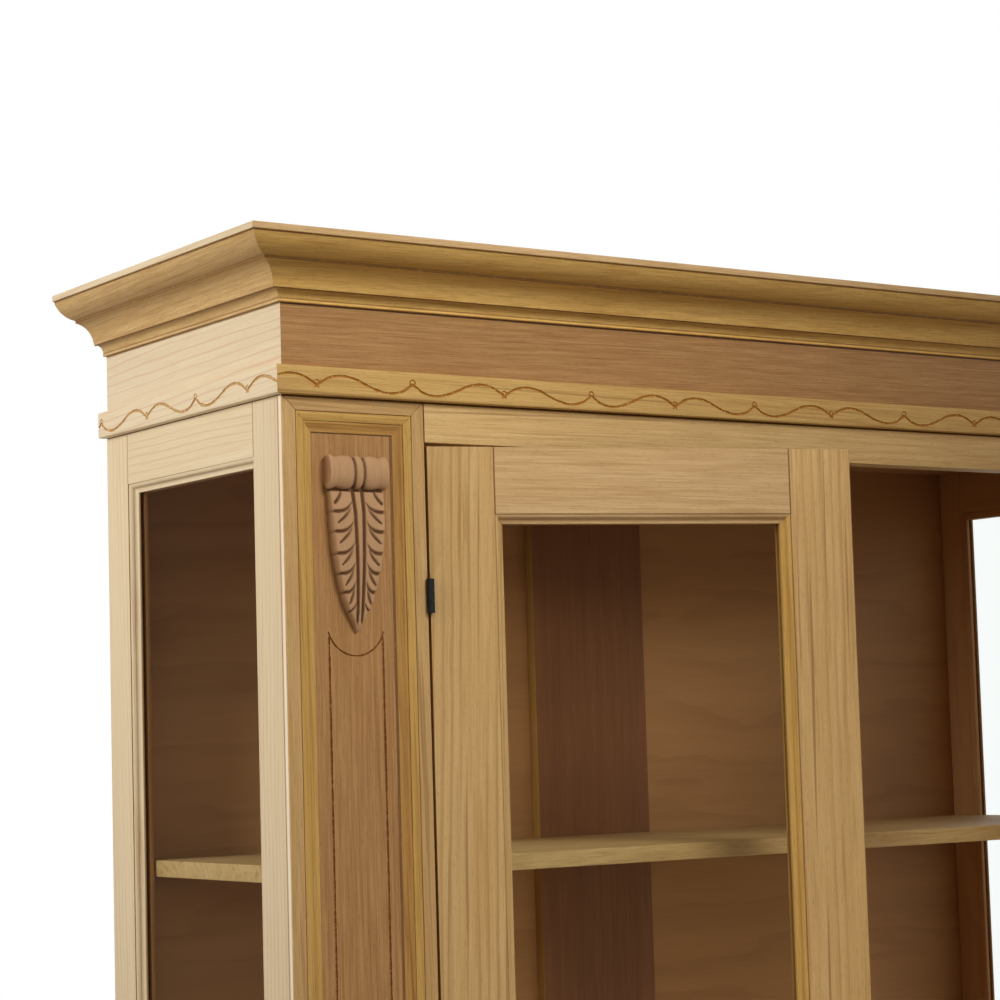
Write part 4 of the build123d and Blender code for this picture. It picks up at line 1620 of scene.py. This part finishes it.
@dataclass
class Corbel:
    """A carved bracket: a rolled scroll over a tapering leaf with cut veins."""

    centre_x: float = -558.5
    panel_y: float = -193.5
    top: float = 1883.0
    roll_bottom: float = 1848.0
    roll_half: float = 34.0
    roll_deep: float = 18.0
    tip: float = 1705.0
    leaf_top: float = 1857.0
    stroke_deep: float = 2.8
    rib_deep: float = 2.6
    rim_mm: float = 3.0
    power_behind: float = 0.45

    # Half the leaf's width and its thickness at heights from the tip to under the roll.
    LEAF = (
        (1705.0, 1.0, 3.0),
        (1707.5, 2.2, 5.4),
        (1712.0, 3.9, 8.0),
        (1719.0, 7.6, 9.3),
        (1727.0, 12.2, 10.7),
        (1737.0, 16.6, 11.7),
        (1747.0, 19.6, 12.6),
        (1767.0, 24.4, 14.1),
        (1787.0, 27.7, 14.5),
        (1807.0, 29.6, 14.5),
        (1825.0, 30.6, 13.8),
        (1846.0, 31.6, 9.9),
        (1857.0, 31.8, 9.5),
    )
    # Where each pair of veins leaves the midrib.
    PAIRS = (1836.0, 1815.7, 1793.7, 1773.6, 1754.7, 1733.5)
    # The roll's size at distances from its middle, as a share of its full section.
    ROLL = (
        *((0.0, 0.97), (2.0, 0.96), (3.2, 0.92), (4.2, 0.80), (5.4, 0.75), (6.6, 0.80), (7.8, 0.90)),
        *((10.0, 0.95), (15.0, 0.985), (20.0, 0.95), (24.5, 0.885), (28.0, 0.91)),
        *((31.0, 0.985), (33.0, 0.995), (33.6, 0.96), (34.0, 0.89)),
    )
    # The roll's ends: rings drawn in to these shares, and dished by these millimetres.
    DISH = ((0.86, 0.0), (0.72, 0.8), (0.35, 1.3))

    def half_width(self, height: np.ndarray | float) -> np.ndarray:
        """Half the leaf's width at a height, with a notch where a vein runs out."""
        heights, widths, _ = zip(*self.LEAF)
        half = np.interp(height, heights, widths)
        for pair in self.PAIRS[:-1]:
            half = half - 0.9 * np.exp(-(((height - pair + 10.9) / 2.0) ** 2))
        return half

    def strokes(self) -> list[tuple[np.ndarray, np.ndarray, np.ndarray]]:
        """The gouge's strokes on the right half: points, half widths and depths."""
        found = []

        def stroke(points: tuple, thin: float, wide: float, reach: float = 0.68) -> None:
            """Adds a curved stroke that swells, and ends in a point where its reach is near 1."""
            a, b, c = (np.array(p, float) for p in points)
            t = np.linspace(0, 1, 14)[:, None]
            path = a * (1 - t) ** 2 + 2 * b * t * (1 - t) + c * t**2
            share = t[:, 0]
            swell = thin + (wide - thin) * np.sin(np.pi * np.clip(share * reach + 0.02, 0, 1))
            deep = self.stroke_deep * (0.35 + 0.65 * np.sqrt(share)) * (1.36 - reach * 0.53)
            found.append((path, swell, deep))

        for height in self.PAIRS[:-1]:
            near = 2.8 + 0.17 * float(self.half_width(height))
            out = float(self.half_width(height - 7.0)) - 2.6
            bow = near + (out - near) * 0.26
            stroke(((near, height), (bow, height - 11.4), (out, height - 10.6)), 0.5, 2.3)
            foot = height - 22.0
            end = 0.84 * float(self.half_width(foot))
            fork = (near + 1.6, height - 6.4)
            stroke((fork, (near + (end - near) * 0.36, height - 14.6), (end, foot)), 0.6, 2.0, 0.92)
        stroke(((5.0, 1733.5), (7.6, 1727.0), (11.6, 1724.6)), 0.5, 1.5)
        stroke(((18.8, 1848.5), (20.6, 1840.0), (27.4, 1834.2)), 1.4, 2.1)
        return found

    def leaf(self) -> tuple[np.ndarray, list, np.ndarray]:
        """The leaf as rows of points across it, with how much painted shade and dust lies on each."""
        columns, rows = 97, 216
        heights = np.linspace(self.tip, self.leaf_top, rows)
        z = np.repeat(heights[:, None], columns, axis=1)
        half = self.half_width(z)
        x = np.linspace(-1, 1, columns)[None, :] * half
        stops, _, depths = zip(*self.LEAF)
        thick = np.interp(z, stops, depths)
        rounding = np.minimum(self.rim_mm, half * 0.45)
        near = np.clip(1 - (half - np.abs(x)) / rounding, 0, 1)
        thick = thick - rounding * 0.8 * (1 - np.sqrt(np.clip(1 - near**2, 0, 1)))
        rib = np.interp(z, (self.tip, 1712.0, 1727.0, 1787.0, 1846.0), (1.2, 2.6, 2.8, 4.1, 5.5))
        rib_half = np.interp(z, (self.tip, 1712.0, 1727.0, 1846.0), (0.7, 1.5, 2.1, 2.6))
        valley = np.clip(1 - np.abs(np.abs(x) - rib) / rib_half, 0, 1)
        fade = np.clip((z - 1708.0) / 8.0, 0, 1)
        cut = np.maximum(0.0, self.rib_deep * np.sin(valley * np.pi / 2) * fade)
        # Painted shade with some dust: darker in the rib's valleys, toward the rounded rim and in the
        # strokes.
        dust = np.maximum(cut * 0.24, 0.12 * near)
        cut = np.maximum(cut, self.rim_mm * np.clip((z - 1845.6) / 1.4, 0, 1))
        for path, swell, deep in self.strokes():
            best = np.zeros_like(cut)
            for (ax, az), (bx, bz), width, depth in zip(path[:-1], path[1:], swell, deep):
                dx, dz = bx - ax, bz - az
                share = np.clip(((np.abs(x) - ax) * dx + (z - az) * dz) / (dx * dx + dz * dz), 0, 1)
                gap = np.hypot(np.abs(x) - ax - share * dx, z - az - share * dz)
                best = np.maximum(best, depth * np.clip(1 - gap / width, 0, 1) ** 0.7)
            cut = np.maximum(cut, best)
        dust = np.maximum(dust, np.where(cut > valley * self.rib_deep, cut * 0.5, 0.0))
        cut = np.minimum(cut, np.maximum(thick - 1.0, 0))
        y = self.panel_y - (thick - cut)
        # The rim columns, where the leaf meets the panel, get a line of painted shade.
        foot, rim = np.full((rows, 1), self.panel_y), np.full((rows, 1), 0.18)
        x = np.concatenate([x[:, :1], x, x[:, -1:]], axis=1) + self.centre_x
        y = np.concatenate([foot, y, foot], axis=1)
        z = np.concatenate([z[:, :1], z, z[:, -1:]], axis=1)
        dust = np.concatenate([rim, dust, rim], axis=1)
        points = np.stack([x, y, z], axis=2).reshape(-1, 3)
        wide = columns + 2
        ends = [tuple(reversed(range(wide))), tuple((rows - 1) * wide + i for i in range(wide))]
        return points, tube_faces(rows, wide) + ends, dust.reshape(-1)

    def roll(self) -> tuple[np.ndarray, list, np.ndarray]:
        """The scroll: an oval bar with flared ends and two hollows round its middle, with painted shade in
        its hollows, underneath and on its ends.
        """
        columns, around = 140, 72
        x = np.linspace(-self.roll_half, self.roll_half, columns)
        size = np.interp(np.abs(x), *zip(*self.ROLL))
        size = np.convolve(np.pad(size, 2, mode="edge"), (0.1, 0.2, 0.4, 0.2, 0.1), mode="valid")
        angle = np.linspace(0, math.tau, around, endpoint=False)
        depth_half, height_half = self.roll_deep / 2, (self.top - self.roll_bottom) / 2
        cosine, sine = np.cos(angle), np.sin(angle)
        flat = cosine < 0
        ring_y = -np.sign(cosine) * np.abs(cosine) ** np.where(flat, self.power_behind, 1.0) * depth_half
        ring_z = np.sign(sine) * np.abs(sine) ** np.where(flat, 0.8, 1.0) * height_half
        middle_y, middle_z = self.panel_y - depth_half, (self.top + self.roll_bottom) / 2
        # Painted shade: darker toward the roll's underside.
        under = 0.2 * np.clip(-ring_z / height_half - 0.2, 0, 1)
        points, cuts = [], []
        for place, scale in zip(x, size):
            across = np.full(around, place + self.centre_x)
            deep = middle_y + ring_y * np.where(flat, 1.0, scale)
            points.append(np.stack([across, deep, middle_z + ring_z * scale], axis=1))
            # Painted shade in the hollows, where the section narrows, plus the underside's.
            cuts.append(np.clip((0.9 - scale) * 7, 0, 0.8) + under)
        faces = tube_faces(columns, around)
        rings = np.concatenate(points)
        extra: list[np.ndarray] = []
        for end, outward in ((0, -1), (columns - 1, 1)):
            last = list(range(end * around, (end + 1) * around))
            rim = rings[last]
            middle = np.array([rim[0][0], middle_y, middle_z])
            for inset, dish in self.DISH:
                start = (columns + len(extra)) * around
                extra.append(middle - np.array([outward * dish, 0, 0]) + (rim - middle) * inset)
                here = list(range(start, start + around))
                for step in range(around):
                    after = (step + 1) % around
                    quad = (last[step], last[after], here[after], here[step])
                    faces.append(quad if outward > 0 else quad[::-1])
                last = here
            faces.append(tuple(last) if outward > 0 else tuple(reversed(last)))
        # The dished end caps get a little painted shade.
        roll_shade_values = np.concatenate([*cuts, np.full(len(extra) * around, 0.1)])
        return np.concatenate([rings, *extra]), faces, roll_shade_values

    def build(self, shop: Workshop, mirror: bool) -> None:
        """Builds one corbel.

        Args:
            shop: The workshop that finishes the piece.
            mirror: True for the right one.
        """
        leaf_points, leaf_faces, leaf_shade_and_dust = self.leaf()
        roll_points, roll_faces, roll_painted_shade = self.roll()
        offset = len(leaf_points)
        points = np.concatenate([leaf_points, roll_points]) * MM
        faces = leaf_faces + [tuple(i + offset for i in face) for face in roll_faces]
        side = "right" if mirror else "left"
        mesh = bpy.data.meshes.new(f"corbel_{side}_carving")
        mesh.from_pydata(points.tolist(), [], faces)
        mesh.materials.append(shop.finish(CARVED_WOOD))
        with editing(mesh) as work:
            bmesh.ops.recalc_face_normals(work, faces=work.faces)
        note(mesh, "dust_and_shade", "POINT", np.clip(np.concatenate([leaf_shade_and_dust, roll_painted_shade]), 0, 0.9))
        if mirror:
            placed(mesh, Matrix.Diagonal((-1, 1, 1, 1)))
        owners = np.array([0] * offset + [1] * len(roll_points))
        shop.wooden_piece(
            f"corbel_{side}_carving", mesh, (f"corbel_{side}",), owners, Grain.UPRIGHT, smooth_deg=50.0
        )


@dataclass
class Pilasters:
    """Moulded frames, engraved panels and corbels, with the boards behind them."""

    panel_front: float = -193.5
    line_half: float = 32.4
    line_top: float = 1705.5
    line_dip: float = 24.5
    line_foot: float = 330.0
    line_groove: float = 1.45
    # The uprights of the line: how far they end from its arcs, and in how many steps.
    line_gap: float = 5.0
    line_steps: int = 560
    arc_steps: int = 40
    panel_top: float = 1906.5
    panel_foot: float = 165.5
    centre_x: float = -558.25
    # The frame's bands, as distances from its outer edge, and the painted highlight band on its outer edge.
    band_start: float = 15.2
    cove_start: float = 24.6
    edge_front: float = -198.2
    edge_back: float = -193.6

    def frame_seams(self) -> tuple[DarkLine, ...]:
        """The joints of the frame with the side and with the face rail, and the band of its edge's painted
        highlight.
        """
        inner, outer = HALF_WIDTH - PILASTER, HALF_WIDTH
        dark_lines = []
        for side in (-1, 1):
            low, high = sorted((side * inner, side * (inner + 0.9)))
            dark_lines.append(DarkLine((low, FRONT - 1, FACE_RAIL_FOOT), (high, FRONT + 1, CARCASS_TOP), 0.9))
            low, high = sorted((side * (outer - 0.4), side * (outer + 1)))
            dark_lines.append(DarkLine((low, -192.4, LINE_FOOT), (high, -191, CARCASS_TOP), 0.8))
            dark_lines.append(DarkLine((low, self.edge_front, LINE_FOOT), (high, self.edge_back, CARCASS_TOP), 0.0))
        return tuple(dark_lines)

    def panel_seams(self, sign: int) -> tuple[DarkLine, ...]:
        """Painted shade where the panel meets its frame: dark at the top and on the right, fainter on the
        left and at the foot.
        """
        right = -HALF_WIDTH + PILASTER - PILASTER_BAND if sign > 0 else HALF_WIDTH - PILASTER_BAND
        left = -HALF_WIDTH + PILASTER_BAND if sign > 0 else HALF_WIDTH - PILASTER + PILASTER_BAND
        front, back = -194.0, -193.0
        return (
            DarkLine((left, front, self.panel_top - 1.6), (right, back, self.panel_top), 0.9),
            DarkLine((right - 3.0, front, self.panel_foot), (right, back, self.panel_top), 0.65),
            DarkLine((left, front, self.panel_foot), (left + 0.5, back, self.panel_top), 0.4),
            DarkLine((left, front, self.panel_foot), (right, back, self.panel_foot + 0.8), 0.5),
        )

    def pale_edge(self, mesh: Mesh, white: Material, pale: Material) -> None:
        """Gives the frame's outer edge a near white band, a painted highlight, and, behind it, the side's
        finish.

        Args:
            mesh: The frame.
            white: The band's finish, the painted highlight.
            pale: The finish of the edge behind the band.
        """

        def chosen(polygon: MeshPolygon) -> int | None:
            """0 on the band and 1 behind it."""
            outer = abs(polygon.center.x) > (HALF_WIDTH - 0.6) * MM and abs(polygon.normal.x) > 0.6
            if outer and polygon.material_index == 0 and polygon.center.y > self.edge_front * MM:
                return int(polygon.center.y > self.edge_back * MM)
            return None

        refinish(mesh, (white, pale), chosen)

    def yellowed_and_shaded(self, mesh: Mesh, ochre: Material, umber: Material) -> None:
        """Gives the mouldings round the panel their yellower finish, and a darker brown one that paints the
        shade on some coves.

        Args:
            mesh: The frame.
            ochre: The finish of the stepped band and of the cove.
            umber: The finish of the cove at the top and on the door's side, painted shade.
        """

        def chosen(polygon: MeshPolygon) -> int | None:
            """0 on the bands and 1 on the parts of the cove painted in shade."""
            place = polygon.center / MM
            outer = HALF_WIDTH - abs(place.x)
            head = self.panel_top + PILASTER_BAND - place.z
            foot = place.z - self.panel_foot + PILASTER_BAND
            reaches = (outer, PILASTER - outer, head, foot)
            reach = min(reaches)
            if polygon.material_index == 0 and reach > self.band_start:
                return int(reach > self.cove_start and reaches.index(reach) in (1, 2))
            return None

        refinish(mesh, (ochre, umber), chosen)

    def line_cutter(self, finish: Material) -> Mesh:
        """The cutter of the engraved line: two hanging arcs joined by upright lines."""
        made, size = geometry_tree("engraved_line_cutter", "Groove")
        path = result(made, "GeometryNodeMeshToCurve", {"Mesh": size["Geometry"]})
        chatter = noise(made, result(made, "GeometryNodeInputPosition"), 300.0, 2.0)
        thick = maths(made, "MULTIPLY", spread(made, chatter, 0.3, 0.6, 0.45), size["Groove"])
        thin = result(made, "GeometryNodeSetCurveRadius", {"Curve": path, "Radius": thick})
        end_tree(made, swept(made, thin, circle(made, 6, 1.0), swelling=True), size["Finish"])
        half, top, dip, foot = self.line_half, self.line_top, self.line_dip, self.line_foot
        paths = []
        for level, middle in ((top, top - dip), (foot, foot + dip)):
            bow = arc((-half, level), (0, middle), (half, level), self.arc_steps)
            paths.append([(-half, level), *bow])
        low, high = foot + self.line_gap, top - self.line_gap
        heights = [low + (high - low) * i / self.line_steps for i in range(self.line_steps + 1)]
        paths += [[(side * (half - 0.9), height) for height in heights] for side in (-1, 1)]
        points: list = []
        edges: list = []
        for steps in paths:
            offset = len(points)
            points += [(x * MM, 0.0, z * MM) for x, z in steps]
            edges += [(offset + i, offset + i + 1) for i in range(len(steps) - 1)]
        start = bpy.data.meshes.new("engraved_line")
        start.from_pydata(points, edges, [])
        return grown(made, {"Groove": self.line_groove * MM, "Finish": finish}, start)

    def build(self, shop: Workshop) -> None:
        """Builds and dresses both pilasters.

        Args:
            shop: The workshop that finishes the pieces.
        """
        for side, sign in (("left", 1), ("right", -1)):
            frame_piece = shop.boards(
                f"pilaster_{side}_mouldings",
                FRAME_WOOD,
                f"pilaster_frame_{side}",
                dark_lines=self.frame_seams(),
                gaps=GAPS,
            )
            self.pale_edge(frame_piece.data, shop.finish(EDGE_HIGHLIGHT_WOOD), shop.finish(SIDE_WOOD))
            self.yellowed_and_shaded(frame_piece.data, shop.finish(OCHRE_WOOD), shop.finish(UMBER_WOOD))
            low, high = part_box(f"pilaster_panel_{side}")
            place = Matrix.Translation((self.centre_x * sign * MM, self.panel_front * MM, 0))
            cutter = placed(self.line_cutter(shop.finish(PANEL_CUT)), place)
            mesh = carved(block(low / MM, high / MM, shop.finish(RED_WOOD)), cutter)
            with editing(mesh) as work:
                scribe(work, self.panel_seams(sign))
            shop.wooden_piece(
                f"pilaster_{side}_engraved_panel", mesh, (f"pilaster_panel_{side}",), grain=Grain.UPRIGHT
            )
            Corbel().build(shop, mirror=sign < 0)
        shop.boards("pilaster_backing_boards", GOLDEN_WOOD, "pilaster_boards", crevices=False)
        shop.boards("door_jambs", GOLDEN_WOOD, "hinge_jambs")


def edged(board: Object, finish: Material, signs: tuple[int, ...]) -> None:
    """Gives the faces of a board that look straight left or right their own finish.

    Args:
        board: The board.
        finish: The finish of those faces.
        signs: -1 for the faces that look left and 1 for those that look right.
    """

    def chosen(polygon: MeshPolygon) -> int | None:
        """0 on the faces that look that way."""
        return 0 if any(polygon.normal.x * sign > 0.9 for sign in signs) else None

    refinish(board.data, (finish,), chosen)


@dataclass
class Carcass:
    """Side frames, face rails, boards, shelves, back and plinth.

    The side frames are browner on the faces that look into the cabinet.
    """

    arris: float = 0.8
    front_joint: float = -139.5
    back_joint: float = 148.0

    def side_seams(self) -> tuple[DarkLine, ...]:
        """The joints of the side frames' rails and stiles, and of the stiles with the pilasters."""
        dark_lines = []
        for edge in (self.front_joint, self.back_joint):
            for sign in (-1, 1):
                low, high = sorted((sign * (HALF_WIDTH - 0.4), sign * (HALF_WIDTH + 1)))
                for bottom, top in ((SIDE_RAIL_TOP, CARCASS_TOP), (0, SIDE_RAIL_FOOT)):
                    dark_lines.append(DarkLine((low, edge - 0.9, bottom), (high, edge + 0.9, top), 0.65))
        for sign in (-1, 1):
            low, high = sorted((sign * (HALF_WIDTH - 0.9), sign * (HALF_WIDTH + 1)))
            dark_lines.append(DarkLine((low, -192, LINE_FOOT), (high, -190.2, CARCASS_TOP), 0.5))
        return tuple(dark_lines)

    def build_sides(self, shop: Workshop) -> None:
        """Builds and dresses the glazed side frames.

        Args:
            shop: The workshop that finishes the pieces.
        """
        for side, sign in (("left", -1), ("right", 1)):
            for part in ("front_stile", "back_stile", "top_rail", "bottom_rail"):
                node = f"side_{side}_{part}"
                board = shop.boards(
                    node + "_board",
                    SIDE_WOOD,
                    node,
                    arris_mm=self.arris,
                    dark_lines=self.side_seams(),
                    gaps=GAPS,
                )
                edged(board, shop.finish(BACK_PLY), (-sign,))
            shop.dress(CLEAR_GLASS, f"side_{side}_glass")
        shop.boards("side_bead_strips", BACK_PLY, "side_glazing_beads", crevices=False)

    def build(self, shop: Workshop) -> None:
        """Builds and dresses the carcass.

        Args:
            shop: The workshop that finishes the pieces.
        """
        self.build_sides(shop)
        dark_lines = []
        for end in (PILASTER - HALF_WIDTH, HALF_WIDTH - PILASTER):
            low, high = (end - 0.9, FRONT - 1, FACE_RAIL_FOOT), (end + 0.9, FRONT + 1, CARCASS_TOP)
            dark_lines.append(DarkLine(low, high, 0.9))
        shop.boards(
            "face_top_rail",
            LIGHT_GOLDEN_WOOD,
            "face_rail_top",
            arris_mm=self.arris,
            dark_lines=tuple(dark_lines),
            gaps=GAPS,
        )
        shop.boards("face_bottom_rail", GOLDEN_WOOD, "face_rail_bottom", arris_mm=self.arris)
        across = Grain.ACROSS_FRONT
        shop.boards("ceiling_board", BACK_PLY, "top_board", grain=across, crevices=False)
        shop.boards("floor_board", BACK_PLY, "bottom_board", grain=across, crevices=False)
        shop.boards("back_veneer_panels", BACK_PLY, "back_panels", arris_mm=0.4, grain=across, crevices=False)
        post = shop.boards("back_centre_post", POST_WOOD, "centre_post", arris_mm=1.0, crevices=False)
        edged(post, shop.finish(UMBER_WOOD), (-1, 1))
        for part in ("lower", "middle", "upper"):
            shop.boards(f"shelf_{part}_board", GOLDEN_WOOD, "shelf_" + part, arris_mm=1.2)
        shop.boards("plinth_boards", GOLDEN_WOOD, "plinth", arris_mm=1.0)
        shop.boards("base_moulding_runs", GOLDEN_WOOD, "base_moulding", arris_mm=0.6)


@dataclass
class Doors:
    """The two glazed doors."""

    arris: float = 0.8
    hinge_joint: float = 401.5
    left_meeting_joint: float = -68.0
    right_meeting_joint: float = 66.0
    rails: tuple[Point, ...] = ((194.0, 314.0), (1826.0, 1896.0))
    # Half the widths of the lines at the joints and round the glass, and the meeting edge's line.
    joint_half: float = 0.8
    quirk_half: float = 0.6
    meeting_line: Point = (2.9, 4.1)
    meeting_foot: float = 200.0

    def dark_lines(self) -> tuple[DarkLine, ...]:
        """The joints of rails and stiles, and the lines in the quirks round the glass and on the meeting
        edge, which are painted shade with some dust.

        They are where they lie with the doors shut.
        """
        edges = (-self.hinge_joint, self.left_meeting_joint, self.right_meeting_joint, self.hinge_joint)
        foot, head, wide, thin = self.rails[0][1], self.rails[1][0], self.joint_half, self.quirk_half
        found = []
        for edge in edges:
            for low, high in self.rails:
                found.append(DarkLine((edge - wide, FRONT - 0.5, low), (edge + wide, FRONT + 1, high), 0.85))
        out, deep = FRONT - 0.6, FRONT + 1.1
        for edge in edges:
            found.append(DarkLine((edge - thin, out, foot), (edge + thin, deep, head), 0.55))
        for low, high in (edges[:2], edges[2:]):
            for edge in (foot, head):
                found.append(DarkLine((low, out, edge - thin), (high, deep, edge + thin), 0.55))
        # The meeting edge's line: painted shade on its rounded arris, with rough fuzz in it.
        left, right = self.meeting_line
        found.append(DarkLine((left, FRONT - 1, self.meeting_foot), (right, FRONT + 1.2, self.rails[1][1]), 0.7))
        return tuple(found)

    def moulded(self, stile: Object, body: Body, finish: Material) -> None:
        """Gives a stile's moulded inner edge its yellower finish.

        Args:
            stile: The stile.
            body: The door that it belongs to.
            finish: The finish of the moulding.
        """
        inner = self.left_meeting_joint if body is Body.LEFT_DOOR else self.right_meeting_joint

        def chosen(polygon: MeshPolygon) -> int | None:
            """0 on the faces between the stile's flat and the hinge's side."""
            across = abs((body.closing @ polygon.center).x)
            return 0 if abs(inner) * MM < across < self.hinge_joint * MM else None

        refinish(stile.data, (finish,), chosen)

    def build(self, shop: Workshop) -> None:
        """Builds and dresses both doors.

        Args:
            shop: The workshop that finishes the pieces.
        """
        for side in ("left", "right"):
            door = f"{side}_door_"
            for part in ("hinge_stile", "meeting_stile", "top_rail", "bottom_rail"):
                wood = DOOR_RAIL_WOOD if part.endswith("rail") else STILE_WOOD
                name = door + part
                board = shop.boards(name + "_board", wood, name, arris_mm=self.arris, dark_lines=self.dark_lines())
                if part == "meeting_stile":
                    self.moulded(board, Body(side + "_door"), shop.finish(OCHRE_WOOD))
            shop.boards(door + "bead_strips", UMBER_WOOD, door + "glazing_beads")
            shop.boards(door + "turned_knob", GOLDEN_WOOD, door + "knob", arris_mm=0.2, crevices=False)
            shop.dress(CLEAR_GLASS, door + "glass")


@dataclass
class Hardware:
    """Hinges, pins, catches and strike plates."""

    def build(self, shop: Workshop) -> None:
        """Dresses the steel and the plastic.

        Args:
            shop: The workshop that finishes the pieces.
        """
        shop.dress(
            BLACK_STEEL,
            "hinge_frame_leaves",
            "hinge_pins",
            "left_door_hinge_leaves",
            "right_door_hinge_leaves",
        )
        shop.dress(BRIGHT_STEEL, "shelf_pins", "left_door_strike_plate", "right_door_strike_plate")
        shop.dress(BROWN_PLASTIC, "magnetic_catches")


def looked_at(tree: NodeTree) -> NodeSocket:
    """1 for rays from the camera, a mirror or a pane, and 0 for the rays that carry light."""
    rays = add_node(tree, "ShaderNodeLightPath").outputs
    seen = rays["Is Camera Ray"]
    for name in ("Is Glossy Ray", "Is Transmission Ray"):
        seen = maths(tree, "MAXIMUM", seen, rays[name])
    return seen


@dataclass(frozen=True)
class FloorPaint(Finish):
    """Matt pale paint that melts into white light away from the object."""

    paint: str
    near_m: float = 0.4
    far_m: float = 3.4
    white_share: float = 0.55

    def surface(self, tree: NodeTree) -> NodeSocket:
        """Builds paint that takes shadows near the object, mixed with white where it is seen."""
        far = result(tree, "ShaderNodeVectorMath", {0: object_place(tree)}, "Value", operation="LENGTH")
        share = spread(tree, far, self.near_m, self.far_m, self.white_share, smooth=True)
        share = maths(tree, "MULTIPLY", share, looked_at(tree))
        matt = result(tree, "ShaderNodeBsdfDiffuse", {"Color": linear(self.paint)})
        white = result(tree, "ShaderNodeEmission", {"Color": linear("#FFFFFF"), "Strength": 1.0})
        return result(tree, "ShaderNodeMixShader", {0: share, 1: matt, 2: white})


@dataclass
class Studio:
    """Pale floor, soft lamps, white surroundings and the camera of the photograph."""

    camera_mm: Place = (-1900.96, -2430.55, 1591.5)
    right: Place = (0.82781341, -0.56025645, -0.02894253)
    down: Place = (0.02818052, 0.09305314, -0.99526226)
    forward: Place = (0.5602953, 0.82307583, 0.09281895)
    lens: float = 93.06
    ambient: float = 0.34
    ambient_tint: str = "#FFEAD0"
    floor_m: float = 60.0

    def camera(self) -> None:
        """Places the camera where the photograph was taken from."""
        data = bpy.data.cameras.new("camera")
        data.lens = self.lens
        data.sensor_width = 36.0
        data.clip_start, data.clip_end = 0.05, 200.0
        eye = stand("camera", data)
        rows = zip(self.right, self.down, self.forward, self.camera_mm)
        eye.matrix_world = Matrix([(x, -y, -z, place * MM) for x, y, z, place in rows] + [(0, 0, 0, 1)])
        bpy.context.scene.camera = eye

    def lamp(
        self, name: str, place: Place, aim: Place, size: float, power: float, colour: str, spread_deg: float
    ) -> None:
        """Adds a square soft lamp.

        Args:
            name: The lamp's name.
            place: Where it is, in metres.
            aim: What it points at.
            size: The length of its side in metres.
            power: Its power in watts.
            colour: Its colour as sRGB hex.
            spread_deg: How wide its beam is, in degrees.
        """
        data = bpy.data.lights.new(name, "AREA")
        data.spread = math.radians(spread_deg)
        data.shape = "SQUARE"
        data.size = size
        data.energy = power
        data.color = linear(colour)[:3]
        lamp = stand(name, data)
        lamp.location = place
        lamp.visible_glossy = False
        lamp.rotation_euler = (Vector(aim) - Vector(place)).to_track_quat("-Z", "Y").to_euler()

    def world(self) -> None:
        """Soft even light, with white where the camera and reflections look past the object."""
        world = bpy.data.worlds.new("white_surroundings")
        bpy.context.scene.world = world
        tree = emptied(world)
        seen = looked_at(tree)
        level = spread(tree, seen, 0.0, 1.0, self.ambient)
        colour = mixed(tree, seen, linear(self.ambient_tint), linear("#FFFFFF"))
        light = result(tree, "ShaderNodeBackground", {"Color": colour, "Strength": level})
        add_node(tree, "ShaderNodeOutputWorld", {}, {"Surface": light})

    def floor(self) -> None:
        """A wide pale floor that keeps the object's shadow and melts into white."""
        mesh = bpy.data.meshes.new("floor")
        with editing(mesh) as work:
            bmesh.ops.create_circle(work, cap_ends=True, radius=self.floor_m, segments=96)
        mesh.materials.append(FloorPaint("matt_pale_floor", "#EDEBE7").material())
        stand("floor", mesh)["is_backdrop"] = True

    def build(self) -> None:
        """Builds the studio."""
        bpy.context.scene.view_settings.view_transform = "Standard"
        self.camera()
        self.world()
        self.floor()
        self.lamp("front_softbox", (-0.25, -2.15, 2.95), (-0.6, -0.2, 2.0), 0.9, 4.5, "#FFFDFA", 60.0)
        self.lamp("side_softbox", (-3.2, 0.1, 2.5), (-0.64, 0.0, 2.02), 1.2, 8.0, "#FFFDFA", 64.0)
        self.lamp("low_softbox", (-0.3, -2.9, 0.45), (0.0, -0.2, 0.45), 1.0, 3.0, "#FFF6E8", 44.0)
        self.lamp("back_softbox", (0.5, 3.4, 1.7), (0.1, 0.2, 1.1), 1.6, 9.0, "#FFF6E8", 70.0)


def main() -> None:
    """Builds the sub-assemblies in order and reports each piece."""
    logging.basicConfig(level=logging.INFO, format="%(name)s: %(message)s", force=True)
    shop = Workshop()
    Cornice().build(shop)
    Pilasters().build(shop)
    Carcass().build(shop)
    Doors().build(shop)
    Hardware().build(shop)
    shop.find_crevices()
    Studio().build()


if __name__ == "__main__":
    main()
